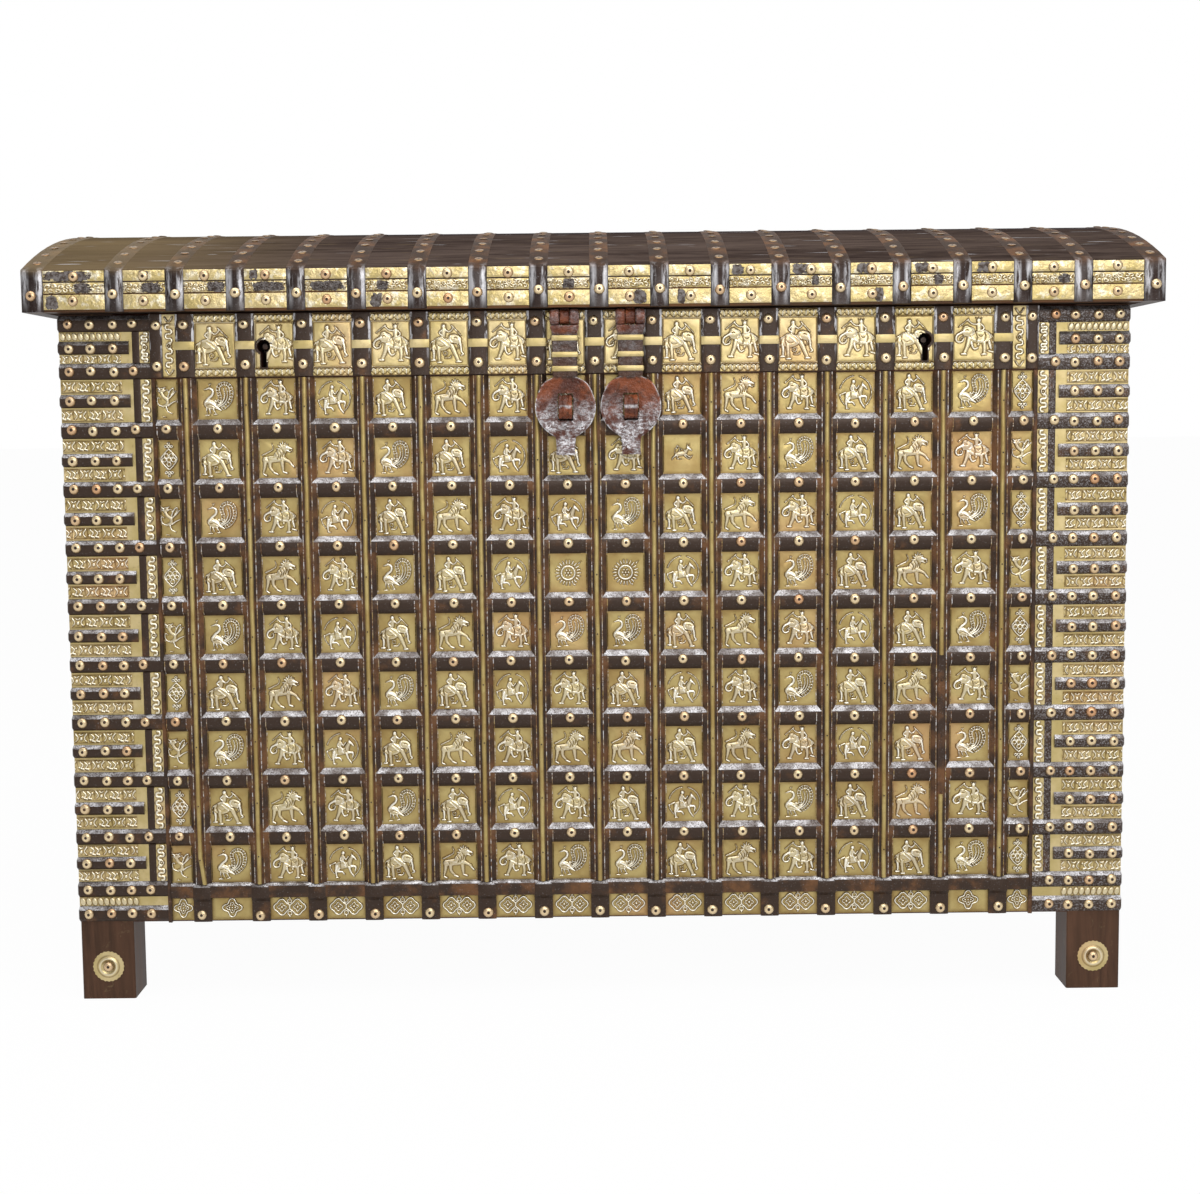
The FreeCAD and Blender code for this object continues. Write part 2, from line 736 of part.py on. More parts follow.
def corner_strap(z, height, length, back, lift):
    """A strap on the right corner: a length across the front and a return along the end."""
    front_face, side_face = -lift, HALF_BODY + lift
    outer_front, outer_side = front_face - CORNER_STRAP, side_face + CORNER_STRAP
    inner = HALF_BODY - length
    outline = [
        (inner, front_face), (inner, outer_front), (outer_side, outer_front),
        (outer_side, back), (side_face, back), (side_face, front_face),
    ]
    return prism_z(outline, (z - height / 2, z + height / 2))


def on_both_sides(solids):
    """Right-hand pieces with their left-hand twins."""
    return solids + [mirrored(solid) for solid in solids]


def long_straps():
    """The long corner straps."""
    return on_both_sides([
        corner_strap(z, LONG_STRAP_HEIGHT, CORNER_WIDTH, LONG_STRAP_RETURN, 0) for z in corner_rows()
    ])


def short_straps():
    """The short corner straps, which lie over the brass sheets."""
    return on_both_sides([
        corner_strap(z, SHORT_STRAP_HEIGHT, SHORT_STRAP_LENGTH, SHORT_STRAP_RETURN, BRASS)
        for z in short_rows()
    ])


def corner_sheets():
    """The embossed brass sheets between the long straps, turned round the corner."""
    sheets = []
    inner, outer = HALF_BODY - CORNER_WIDTH, HALF_BODY + BRASS
    outline = [
        (inner, 0), (inner, -BRASS), (outer, -BRASS),
        (outer, SHORT_STRAP_RETURN), (HALF_BODY, SHORT_STRAP_RETURN), (HALF_BODY, 0),
    ]
    for levels in corner_bays():
        sheets.append(prism_z(outline, levels))
    return on_both_sides(sheets)


def corner_strips():
    """Plain iron strips down the corner sheets."""
    start = HALF_BODY - CORNER_IRON_STRIP_AT
    across = (start - CORNER_IRON_STRIP, start)
    strips = [block(across, (-2 * BRASS, -BRASS), levels) for levels in corner_bays()[:-1]]
    return on_both_sides(strips)


def front_nails():
    """Nails of the grid, the frieze, the bottom edge and the hinge leaves on the chest."""
    solids = []
    backward = FreeCAD.Vector(0, 1, 0)
    for z in BAR_Z:
        solids += [moved(nail(), (x0 + x1) / 2, -BAR_PROUD, z) for x0, x1 in columns()]
    frieze_middle = sum(frieze_levels()) / 2
    frieze_x = upright_places() + [sum(pair) / 2 for pair in frieze_end_straps()]
    for x in frieze_x:
        for offset in (-FRIEZE_NAIL_SPREAD, FRIEZE_NAIL_SPREAD):
            solids.append(moved(nail(), x, -FRIEZE_BOARD - FRIEZE_STRAP, frieze_middle + offset))
    solids += [moved(nail(), x, -FRIEZE_STRAP, BOTTOM_NAIL_Z) for x in upright_places()]
    for x in HINGE_X:
        for offset in (-HINGE_NAIL_X, HINGE_NAIL_X):
            for z in HINGE_BODY_NAIL_Z:
                solids.append(turned_nail(x + offset, BODY_DEPTH + HINGE_LEAF, z, backward))
    return solids


def corner_nails():
    """Nails of the corner straps, on the front and on the ends."""
    solids = []
    sideways = FreeCAD.Vector(1, 0, 0)
    rows = [(z, CORNER_LONG_NAILS, 0, LONG_STRAP_RETURN) for z in corner_rows()]
    rows += [(z, CORNER_SHORT_NAILS, BRASS, SHORT_STRAP_RETURN) for z in short_rows()]
    for z, count, lift, back in rows:
        for i in range(count):
            x = HALF_BODY - CORNER_NAIL_EDGE - i * CORNER_NAIL_PITCH
            solids.append(moved(nail(), x, -CORNER_STRAP - lift, z))
        side = HALF_BODY + CORNER_STRAP + lift
        solids.append(turned_nail(side, back - CORNER_NAIL_EDGE, z, sideways))
    return on_both_sides(solids)


def leg_rosettes():
    """The brass rosettes on the front legs."""
    x = HALF_BODY - ROSETTE_INSET
    plate = rod_y((-ROSETTE_PLATE, 0), x, ROSETTE_Z, ROSETTE_RADIUS)
    boss = rod_y((-ROSETTE_PLATE - ROSETTE_RISE, -ROSETTE_PLATE), x, ROSETTE_Z, ROSETTE_BOSS)
    return on_both_sides([joined([plate, boss])])


def rosette_nails():
    """The nail through each rosette's boss."""
    depth = -ROSETTE_PLATE - ROSETTE_RISE
    return on_both_sides([moved(nail(), HALF_BODY - ROSETTE_INSET, depth, ROSETTE_Z)])


def hasp(x):
    """A hasp: barrel ends, strap, slotted disc and a tail with a turned-out lip."""
    depth = HASP_AXIS_DEPTH
    strap_depths = (depth - HASP_PLATE / 2, depth + HASP_PLATE / 2)
    disc_depths = (depth - HASP_DISC / 2, depth + HASP_DISC / 2)
    half_strap, half_tail = HASP_STRAP_WIDTH / 2, HASP_TAIL_WIDTH / 2
    barrel = rod_x((x - HASP_HALF_BARREL, x + HASP_HALF_BARREL), depth, HASP_AXIS_Z, HASP_BARREL)
    strap = block((x - half_strap, x + half_strap), strap_depths, (HASP_DISC_Z, HASP_AXIS_Z))
    disc = rod_y(disc_depths, x, HASP_DISC_Z, HASP_DISC_RADIUS)
    tail = block((x - half_tail, x + half_tail), strap_depths, (HASP_TAIL_END, HASP_DISC_Z))
    front = strap_depths[0]
    lip_outline = [
        (front, HASP_TAIL_END), (front - HASP_TAIL_LIP, HASP_TAIL_END),
        (front - HASP_TAIL_LIP, HASP_TAIL_END + HASP_PLATE), (front, HASP_TAIL_END + HASP_PLATE * 2),
    ]
    lip = prism_x(lip_outline, (x - half_tail, x + half_tail))
    room = HASP_EYE_HALF + HASP_EYE_ROOM
    eye_gap = block(
        (x - room, x + room),
        (depth - OVERSIZE / 2, depth + OVERSIZE / 2),
        (HASP_AXIS_Z - HASP_EYE - HASP_EYE_ROOM, HASP_AXIS_Z + HASP_BARREL),
    )
    bore = rod_x((x - HASP_HALF_BARREL, x + HASP_HALF_BARREL), depth, HASP_AXIS_Z, HASP_PIN + RUNNING_FIT)
    slot = block(
        (x - HASP_SLOT_WIDTH / 2, x + HASP_SLOT_WIDTH / 2),
        disc_depths,
        (HASP_DISC_Z - HASP_SLOT_HEIGHT / 2, HASP_DISC_Z + HASP_SLOT_HEIGHT / 2),
    )
    return without(joined([barrel, strap, disc, tail, lip]), [eye_gap, bore, slot])


def hasp_bands(x):
    """The three brass bands across a hasp's strap."""
    front = HASP_AXIS_DEPTH - HASP_PLATE / 2
    half, rise = HASP_STRAP_WIDTH / 2, HASP_BAND_HEIGHT / 2
    return [
        block((x - half, x + half), (front - HASP_BAND, front), (z - rise, z + rise)) for z in HASP_BAND_Z
    ]


def hasp_eyes():
    """The eyes that carry the hasps, each with a tang behind the nail tips in the lid's front rail."""
    eyes = []
    for x in HASP_X:
        across = (x - HASP_EYE_HALF, x + HASP_EYE_HALF)
        middle = HASP_AXIS_DEPTH + EYE_TANG_SETBACK
        depths = (middle - EYE_TANG / 2, middle + EYE_TANG / 2)
        ring = rod_x(across, HASP_AXIS_DEPTH, HASP_AXIS_Z, HASP_EYE)
        tang = block(across, depths, (HASP_AXIS_Z, LID_BASE + EYE_TANG_HEIGHT))
        eyes.append(joined([ring, tang]).cut(rod_x(across, HASP_AXIS_DEPTH, HASP_AXIS_Z, HASP_PIN)))
    return eyes


def hasp_pins():
    """The pins on which the hasps swing."""
    return [
        rod_x((x - HASP_HALF_BARREL, x + HASP_HALF_BARREL), HASP_AXIS_DEPTH, HASP_AXIS_Z, HASP_PIN)
        for x in HASP_X
    ]


def staple_outline(x, radius):
    """A face with straight legs from the plank's inside to a round nose at the front."""
    nose = STAPLE_RADIUS - STAPLE_REACH
    top, base = HASP_DISC_Z + radius, HASP_DISC_Z - radius
    left = x - STAPLE_WIDTH / 2
    arc = Part.Arc(at(left, nose, top), at(left, nose - radius, HASP_DISC_Z), at(left, nose, base))
    run = [at(left, nose, base), at(left, PLANK, base), at(left, PLANK, top), at(left, nose, top)]
    edges = [arc.toShape()] + [Part.LineSegment(a, b).toShape() for a, b in zip(run, run[1:])]
    return Part.Face(Part.Wire(Part.__sortEdges__(edges)))


def hasp_staples():
    """The staples through the front wall, their ends clenched on the inside."""
    staples = []
    across = FreeCAD.Vector(STAPLE_WIDTH, 0, 0)
    for x in HASP_X:
        outer = staple_outline(x, STAPLE_RADIUS).extrude(across)
        inner = staple_outline(x, STAPLE_RADIUS - STAPLE_STOCK).extrude(across)
        ends = []
        for sign in (-1, 1):
            start = HASP_DISC_Z + sign * (STAPLE_RADIUS - STAPLE_STOCK)
            sides = (x - STAPLE_WIDTH / 2, x + STAPLE_WIDTH / 2)
            ends.append(block(sides, (PLANK, PLANK + STAPLE_STOCK), (start, start + sign * STAPLE_CLENCH)))
        staples.append(joined([outer.cut(inner)] + ends))
    return staples


def lock_cases():
    """The lock cases inside the front wall, open to the plank, with a slot for the bolt on top."""
    cases = []
    depths = (PLANK, PLANK + CASE_DEPTH)
    for x in LOCK_X:
        inner = CASE_HALF_WIDTH - CASE_WALL
        shell = block((x - CASE_HALF_WIDTH, x + CASE_HALF_WIDTH), depths, (CASE_BASE, CASE_TOP))
        cavity = block(
            (x - inner, x + inner),
            (PLANK, depths[1] - CASE_WALL),
            (CASE_BASE + CASE_WALL, CASE_TOP - CASE_WALL),
        )
        half = BOLT_HALF_WIDTH + BOLT_ROOM
        mouth = block((x - half, x + half), keeper_depths(BOLT_ROOM), (CASE_TOP - CASE_WALL, CASE_TOP))
        cases.append(without(shell, [cavity, mouth]))
    return cases


def lock_bolt(x):
    """A lock bolt drawn down, with the notch that the key lifts it by."""
    across = (x - BOLT_HALF_WIDTH, x + BOLT_HALF_WIDTH)
    notch = block((x - BOLT_NOTCH, x + BOLT_NOTCH), keeper_depths(0), (BOLT_BASE, BOLT_BASE + BOLT_NOTCH))
    return block(across, keeper_depths(0), (BOLT_BASE, BOLT_TOP)).cut(notch)


def lock_springs():
    """The leaf spring beside each bolt, from the case's side wall."""
    springs = []
    top = CASE_TOP - 2 * CASE_WALL
    for x in LOCK_X:
        wall = x + CASE_HALF_WIDTH - CASE_WALL
        tip = x + BOLT_HALF_WIDTH + BOLT_ROOM
        base = top - SPRING_DROP
        outline = [(wall, base), (wall, base - SPRING), (tip, top - SPRING), (tip, top)]
        springs.append(prism_y(outline, keeper_depths(0)))
    return springs


def drill_pins():
    """The pin in the middle of each keyhole, on the case's back."""
    back = PLANK + CASE_DEPTH - CASE_WALL
    return [rod_y((DRILL_PIN_FRONT, back), x, KEY_Z, DRILL_PIN) for x in LOCK_X]


def keyhole_rings():
    """The iron ring round each keyhole, open over the slot."""
    front = -FRIEZE_BOARD - BRASS
    rings = []
    for x in LOCK_X:
        ring = rod_y((front - KEY_RING, front), x, KEY_Z, KEY_RING_RADIUS)
        rings.append(ring.cut(keyhole_cutter(x, front - KEY_RING)))
    return rings


def hinge_leaf(x, across, levels, bore):
    """A leaf on the back with the knuckles between the given pairs of x."""
    half = HINGE_HALF_WIDTH
    plate = block((x - half, x + half), (BODY_DEPTH, BODY_DEPTH + HINGE_LEAF), levels)
    solids = [plate]
    cutters = []
    for low, high in across:
        span = (x + low, x + high)
        middle = sum(levels) / 2
        edge = levels[1] if middle < HINGE_AXIS_Z else levels[0]
        solids.append(block(span, (BODY_DEPTH, BODY_DEPTH + HINGE_LEAF), (edge, HINGE_AXIS_Z)))
        solids.append(rod_x(span, HINGE_DEPTH, HINGE_AXIS_Z, HINGE_KNUCKLE))
        cutters.append(rod_x(span, HINGE_DEPTH, HINGE_AXIS_Z, bore))
    return without(joined(solids), cutters)


def hinge_body_leaves():
    """The leaves on the chest, with the two outer knuckles."""
    start, end = HINGE_MIDDLE_HALF + HINGE_GAP, HINGE_HALF_WIDTH
    top = HINGE_AXIS_Z - HINGE_KNUCKLE - HINGE_LEAF_ROOM
    spans = [(-end, -start), (start, end)]
    return [hinge_leaf(x, spans, (HINGE_BODY_LEAF_BASE, top), HINGE_PIN) for x in HINGE_X]


def hinge_lid_leaves():
    """The leaves on the lid, with the middle knuckle, which turns on the pin."""
    base = HINGE_AXIS_Z + HINGE_KNUCKLE + HINGE_LEAF_ROOM
    span = [(-HINGE_MIDDLE_HALF, HINGE_MIDDLE_HALF)]
    return [
        hinge_leaf(x, span, (base, HINGE_LID_LEAF_TOP), HINGE_PIN + RUNNING_FIT) for x in HINGE_X
    ]


def hinge_pins():
    """The hinge pins, fast in the chest's knuckles."""
    return [
        rod_x((x - HINGE_HALF_WIDTH, x + HINGE_HALF_WIDTH), HINGE_DEPTH, HINGE_AXIS_Z, HINGE_PIN)
        for x in HINGE_X
    ]


def carcass():
    """The wooden chest without its lid."""
    back = BODY_DEPTH - PLANK
    return {
        "post_front_left": [corner_post(True, True)],
        "post_front_right": [corner_post(False, True)],
        "post_back_left": [corner_post(True, False)],
        "post_back_right": [corner_post(False, False)],
        "front_plank_lower": [front_plank(0)],
        "front_plank_middle": [front_plank(1)],
        "front_plank_upper": [front_plank(2)],
        "back_planks": [wall_plank(back, levels, False) for levels in plank_levels()],
        "left_end_planks": end_planks(True),
        "right_end_planks": end_planks(False),
        "floor_bearers": floor_bearers(),
        "floor_planks": floor_planks(),
    }


def lid():
    """The lid's wood, straps, brass and nails."""
    return {
        "lid_front_rail": [lid_board((-HALF_LID, HALF_LID), (LID_FRONT, LID_FRONT + LID_BOARD))],
        "lid_back_rail": [lid_board((-HALF_LID, HALF_LID), (BODY_DEPTH - LID_BOARD, BODY_DEPTH))],
        "lid_left_end": [lid_end(True)],
        "lid_right_end": [lid_end(False)],
        "lid_planks": lid_planks(),
        "lid_lock_rail": [lock_rail()],
        "lid_straps": lid_straps(),
        "lid_front_brass": lid_brass(),
        "lid_nails": lid_nails(),
    }


def cladding():
    """The ironwork and brass of the front and the corners."""
    return {
        "brass_squares": brass_squares(),
        "brass_narrow_squares": narrow_squares(),
        "cross_bars": cross_bars(),
        "uprights": uprights(),
        "upright_beads": beads(),
        "frieze_board": [frieze_board()],
        "frieze_plates": frieze_plates(),
        "frieze_straps": frieze_straps(),
        "frieze_links": frieze_links(),
        "bottom_rail": [bottom_rail()],
        "bottom_plates": bottom_plates(),
        "bottom_straps": bottom_straps(),
        "corner_long_straps": long_straps(),
        "corner_short_straps": short_straps(),
        "corner_sheets": corner_sheets(),
        "corner_iron_strips": corner_strips(),
        "front_nails": front_nails(),
        "corner_nails": corner_nails(),
        "leg_rosettes": leg_rosettes(),
        "rosette_nails": rosette_nails(),
    }


def hardware():
    """The hasps, locks and hinges."""
    return {
        "hasp_left": [hasp(HASP_X[0])],
        "hasp_right": [hasp(HASP_X[1])],
        "hasp_left_bands": hasp_bands(HASP_X[0]),
        "hasp_right_bands": hasp_bands(HASP_X[1]),
        "hasp_eyes": hasp_eyes(),
        "hasp_pins": hasp_pins(),
        "hasp_staples": hasp_staples(),
        "lock_cases": lock_cases(),
        "lock_bolt_left": [lock_bolt(LOCK_X[0])],
        "lock_bolt_right": [lock_bolt(LOCK_X[1])],
        "lock_springs": lock_springs(),
        "lock_drill_pins": drill_pins(),
        "lock_keepers": lock_keepers(),
        "keyhole_rings": keyhole_rings(),
        "hinge_body_leaves": hinge_body_leaves(),
        "hinge_lid_leaves": hinge_lid_leaves(),
        "hinge_pins": hinge_pins(),
    }


def main():
    """Writes one file for each piece or group of like pieces."""
    os.makedirs("parts", exist_ok=True)
    for group in (carcass(), lid(), cladding(), hardware()):
        for name, solids in group.items():
            shape = solids[0] if len(solids) == 1 else Part.makeCompound(solids)
            shape.exportStep(f"parts/{name}.step")


main()
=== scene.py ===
"""A domed dowry chest clad in embossed brass and iron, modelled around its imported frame."""

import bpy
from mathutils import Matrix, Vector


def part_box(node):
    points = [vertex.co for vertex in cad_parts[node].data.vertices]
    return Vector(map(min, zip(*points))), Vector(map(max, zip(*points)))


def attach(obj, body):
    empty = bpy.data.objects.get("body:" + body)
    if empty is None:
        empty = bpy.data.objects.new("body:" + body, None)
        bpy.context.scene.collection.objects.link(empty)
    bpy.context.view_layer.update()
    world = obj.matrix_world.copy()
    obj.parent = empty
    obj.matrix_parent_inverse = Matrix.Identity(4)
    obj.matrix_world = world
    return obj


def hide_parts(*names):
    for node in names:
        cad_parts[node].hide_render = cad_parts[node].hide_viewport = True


bl_info = {
    "name": "Dowry chest",
    "version": (1, 0, 0),
    "blender": (4, 5, 0),
    "location": "View3D > Sidebar > Dowry chest",
    "description": "Embossed brass, iron and wood for a domed dowry chest",
    "category": "Add Mesh",
}

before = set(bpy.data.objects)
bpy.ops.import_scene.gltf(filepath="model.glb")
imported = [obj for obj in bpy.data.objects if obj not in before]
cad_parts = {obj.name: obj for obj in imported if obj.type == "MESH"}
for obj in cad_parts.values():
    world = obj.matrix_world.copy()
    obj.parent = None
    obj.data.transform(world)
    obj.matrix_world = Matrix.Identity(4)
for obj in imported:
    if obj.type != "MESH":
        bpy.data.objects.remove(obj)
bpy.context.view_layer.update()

import math

import bmesh
import bpy
import numpy as np
from bmesh.types import BMFace, BMVert
from bpy.props import FloatProperty, FloatVectorProperty, PointerProperty
from bpy.types import Operator, Panel, PropertyGroup
from mathutils import Matrix, Vector

# Millimetres, with depth counted back from the face of the front planks
MM = 0.001
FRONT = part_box("front_plank_upper")[0].y
TO_FRAME = Matrix.Translation((0, FRONT, 0)) @ Matrix.Scale(MM, 4)
FROM_FRAME = TO_FRAME.inverted()
UPWARD = Vector((0, 0, 1))
RIGHTWARD = Vector((1, 0, 0))
FORWARD = Vector((0, -1, 0))
FULL_TURN = 2 * math.pi
FACING_FRONT = Matrix.Rotation(math.pi / 2, 4, "X")
BOTH_SIDES = (Matrix.Identity(4), Matrix.Diagonal((-1, 1, 1, 1)))

# How near two points are one, and a length that keeps a division from failing
TOUCH = 0.01
TINY = 1e-6

# Thickness of a brass sheet, and the sizes, across and up, for which the motifs of the sheets are drawn
SHEET = 1.0
SQUARE = (51.0, 51.5)
NARROW_SQUARE = (28.5, 51.5)
FRIEZE_PLATE = (51.0, 80.5)
FRIEZE_END = (17, 80.5)
BOTTOM_PLATE = (51.0, 33.0)
NARROW_BOTTOM_PLATE = (28.5, 33.0)

# Beside raised work a sheet is dented, dirty and painted in shade: depth and reach of the dent, how far the
# painted shadow under the raised work hangs down and how thick it is there, and width of the darkening along
# the sheet's edges
DENT = 0.3
DENT_REACH = 1.5
SHADOW_DROP = 0.9
SHADOW_DROP_SHARE = 0.7
EDGE_DARK_REACH = 7

# Angles, in degrees, over which an edge is shown sharp
PLAIN_CREASE = 32
FORGED_CREASE = 40
EMBOSSED_CREASE = 60
COFFER_CREASE = 25

# A face whose slope up or sideways is over these is finished unlike the rest; up-facing iron takes bright
# pitted iron as a painted highlight
UPTURNED = 0.3
SIDEWAYS = 0.25

# Heights, in metres, between which the lid's front gives way to its top, the painted highlights on its straps
# begin, and the painted highlights on the edges of the frieze's straps begin
LID_TOP = (0.948, 0.966)
LID_GLEAM = (0.9, 0.935)
FRIEZE_HIGHLIGHT = (0.83, 0.89)

# Places across, in metres, between which the painted olive sheen on the lid straps ends and the painted
# glints of the right corner begin
LEFT_SHEEN = (-0.68, -0.4)
RIGHT_GLINTS = (0.45, 0.62)

# The grain's stretch along the chest, upward, and from front to back
ALONG = (0.09, 1, 1)
UPRIGHT_GRAIN = (1, 1, 0.09)
DEPTHWISE = (1, 0.09, 1)

# The squares, row by row from the top. P peacock, E and e elephant to the right and left, H horse rider,
# L lion, R rosette, A running animal
SQUARE_ROWS = (
    "PeHELeEeELeHEP",
    "ELePEHEeAePELe",
    "PeHELeHPELeHEP",
    "ELePEHRRHePELe",
    "PeHELePPELeHEP",
    "ELePEHeEHePELe",
    "PeHELeLLELeHEP",
    "ELePEHeEHePELe",
    "PeHELePPELeHEP",
)


def linear(red, green, blue):
    """A colour as a shader takes it, from its usual values of 0 to 255."""
    shares = [value / 255 for value in (red, green, blue)]
    return tuple(s / 12.92 if s <= 0.04045 else ((s + 0.055) / 1.055) ** 2.4 for s in shares)


def length_value(name, description, default):
    """A length that a user may change, in metres."""
    return FloatProperty(name=name, description=description, default=default, min=0, unit="LENGTH")


def colour_value(name, description, default):
    """A colour that a user may change."""
    return FloatVectorProperty(
        name=name, description=description, default=default, size=3, min=0, max=1, subtype="COLOR"
    )


class ChestSizes(PropertyGroup):
    """Sizes of the worked metal."""

    square_relief: length_value("Square relief", "Rise of the figures on the squares", 0.0026)
    band_relief: length_value("Band relief", "Rise of the patterns on the borders", 0.0018)
    coffer_bevel: length_value("Coffer bevel", "Width of the slope around each square", 0.0074)
    window_lap: length_value("Window lap", "How far the iron laps over each square", 0.0014)
    bar_rise: length_value("Bar rise", "Height of the iron bars over the planks", 0.008)
    worn_edge: length_value("Worn edge", "Width of the bright edges on the iron", 0.0007)
    bead_radius: length_value("Bead radius", "Radius of the brass beads", 0.003)
    nail_radius: length_value("Nail radius", "Radius of a nail's head", 0.0069)
    nail_rise: length_value("Nail rise", "Rise of a nail's head", 0.0036)


class ChestColours(PropertyGroup):
    """Colours of the brass, iron and wood."""

    brass_ground: colour_value("Brass ground", "Brass between the figures", linear(182, 163, 108))
    brass_tarnish: colour_value("Brass tarnish", "Duller clouds in the brass", linear(158, 134, 82))
    brass_band: colour_value("Brass band", "Cleaner brass of the borders", linear(204, 185, 138))
    # Polished raised brass, and the colour of a painted highlight on it
    brass_polish_and_highlight: colour_value("Brass bright", "Polished raised brass", linear(250, 246, 232))
    # Soiling, and painted shade, round the raised brass
    brass_shade_and_dirt: colour_value("Brass recess", "Dirt around the raised brass", linear(92, 60, 28))
    brass_copper: colour_value("Brass copper", "Reddish brass of some nails", linear(202, 152, 112))
    nail_pale: colour_value("Nail pale", "Pale brass of the nails", linear(228, 206, 166))
    nail_dull: colour_value("Nail dull", "Dull nails on the lid's top", linear(138, 110, 78))
    iron_dark: colour_value("Iron dark", "Waxed flat iron", linear(54, 39, 29))
    iron_rust: colour_value("Iron rust", "Rust-brown clouds in the iron", linear(104, 70, 42))
    iron_red: colour_value("Iron red", "Red-brown skin of the hasps", linear(80, 41, 28))
    iron_orange: colour_value("Iron orange", "Orange rust on the hasps", linear(136, 72, 40))
    iron_grey: colour_value("Iron grey", "Rubbed iron", linear(112, 106, 104))
    # Bare, pitted iron, also the colour of the painted highlights on the iron
    iron_bare_and_highlight: colour_value("Iron worn", "Bare, pitted iron", linear(200, 199, 202))
    wood_dark: colour_value("Wood dark", "Dark grain of the carcass", linear(44, 26, 20))
    wood_warm: colour_value("Wood warm", "Warm grain of the carcass", linear(92, 58, 42))
    leg_brown: colour_value("Leg brown", "Warm grain of the legs", linear(94, 66, 50))
    lid_dark: colour_value("Lid dark", "Dark grain of the lid", linear(47, 38, 35))
    lid_pale: colour_value("Lid pale", "Pale grain of the lid", linear(82, 70, 64))
    # A painted blue-black reflection along the lid's crown
    lid_crown_reflection: colour_value("Lid crown", "Blue-black wood along the lid's crown", linear(36, 36, 43))
    # Olive wear, and a painted olive sheen at the lid's left end
    lid_worn: colour_value("Lid worn", "Olive wear at the lid's left end", linear(120, 103, 74))


class Shade:
    """A value in a material's nodes that can be used in sums."""

    def __init__(self, tree, socket):
        self.tree = tree
        self.socket = socket

    def _sum(self, operation, first, second):
        node = self.tree.nodes.new("ShaderNodeMath")
        node.operation = operation
        feed(self.tree, node.inputs[0], first)
        feed(self.tree, node.inputs[1], second)
        return Shade(self.tree, node.outputs[0])

    def __add__(self, other):
        return self._sum("ADD", self, other)

    __radd__ = __add__

    def __sub__(self, other):
        return self._sum("SUBTRACT", self, other)

    def __rsub__(self, other):
        return self._sum("SUBTRACT", other, self)

    def __mul__(self, other):
        return self._sum("MULTIPLY", self, other)

    __rmul__ = __mul__

    def within(self, low, high):
        """0 below low, 1 above high, and a smooth step between them."""
        node = self.tree.nodes.new("ShaderNodeMapRange")
        node.interpolation_type = "SMOOTHSTEP"
        feed(self.tree, node.inputs["Value"], self)
        feed(self.tree, node.inputs["From Min"], low)
        feed(self.tree, node.inputs["From Max"], high)
        return Shade(self.tree, node.outputs["Result"])


def feed(tree, socket, value):
    """Gives a socket a value, or a link where the value is a shade."""
    if isinstance(value, Shade):
        tree.links.new(value.socket, socket)
    elif hasattr(socket.default_value, "__len__") and len(value) < len(socket.default_value):
        socket.default_value = (*value, 1)
    else:
        socket.default_value = value


class Look:
    """A material under construction, with its patterns on the piece's own coordinates."""

    def __init__(self, name):
        self.material = bpy.data.materials.new(name)
        self.material.use_nodes = True
        self.tree = self.material.node_tree
        self.shader = self.tree.nodes["Principled BSDF"]
        self.place = self.node("ShaderNodeTexCoord", output="Object")

    def node(self, kind, settings=None, sockets=None, output=0):
        """Adds a node, makes its settings, then feeds its sockets, and gives one of its outputs."""
        node = self.tree.nodes.new(kind)
        for key, value in (settings or {}).items():
            setattr(node, key, value)
        for key, value in (sockets or {}).items():
            feed(self.tree, node.inputs[key], value)
        return Shade(self.tree, node.outputs[output])

    def noise(self, scale, detail=3.0, roughness=0.55, distortion=0.0, stretch=None):
        """Cloudy noise, with scale in turns a metre and stretch along each axis."""
        where = self.place
        if stretch:
            where = self.node("ShaderNodeMapping", sockets={"Vector": self.place, "Scale": stretch})
        sockets = {
            "Vector": where, "Scale": scale, "Detail": detail, "Roughness": roughness,
            "Distortion": distortion,
        }
        return self.node("ShaderNodeTexNoise", sockets=sockets)

    def attribute(self, name):
        """A number that the piece carries at each point."""
        return self.node("ShaderNodeAttribute", {"attribute_name": name}, output="Fac")

    def axis(self, letter):
        """The place along one of the axes X, Y and Z."""
        return self.node("ShaderNodeSeparateXYZ", sockets={"Vector": self.place}, output=letter)

    def mix(self, share, first, second):
        """A colour between two others."""
        return self.node("ShaderNodeMix", {"data_type": "RGBA"}, {0: share, 6: first, 7: second}, output=2)

    def bump(self, height, strength, distance):
        """The surface's slope from a height."""
        sockets = {"Height": height, "Strength": strength, "Distance": distance}
        return self.node("ShaderNodeBump", sockets=sockets, output="Normal")

    def finish(self, sockets):
        """Feeds the shader and gives the material."""
        for key, value in sockets.items():
            feed(self.tree, self.shader.inputs[key], value)
        return self.material


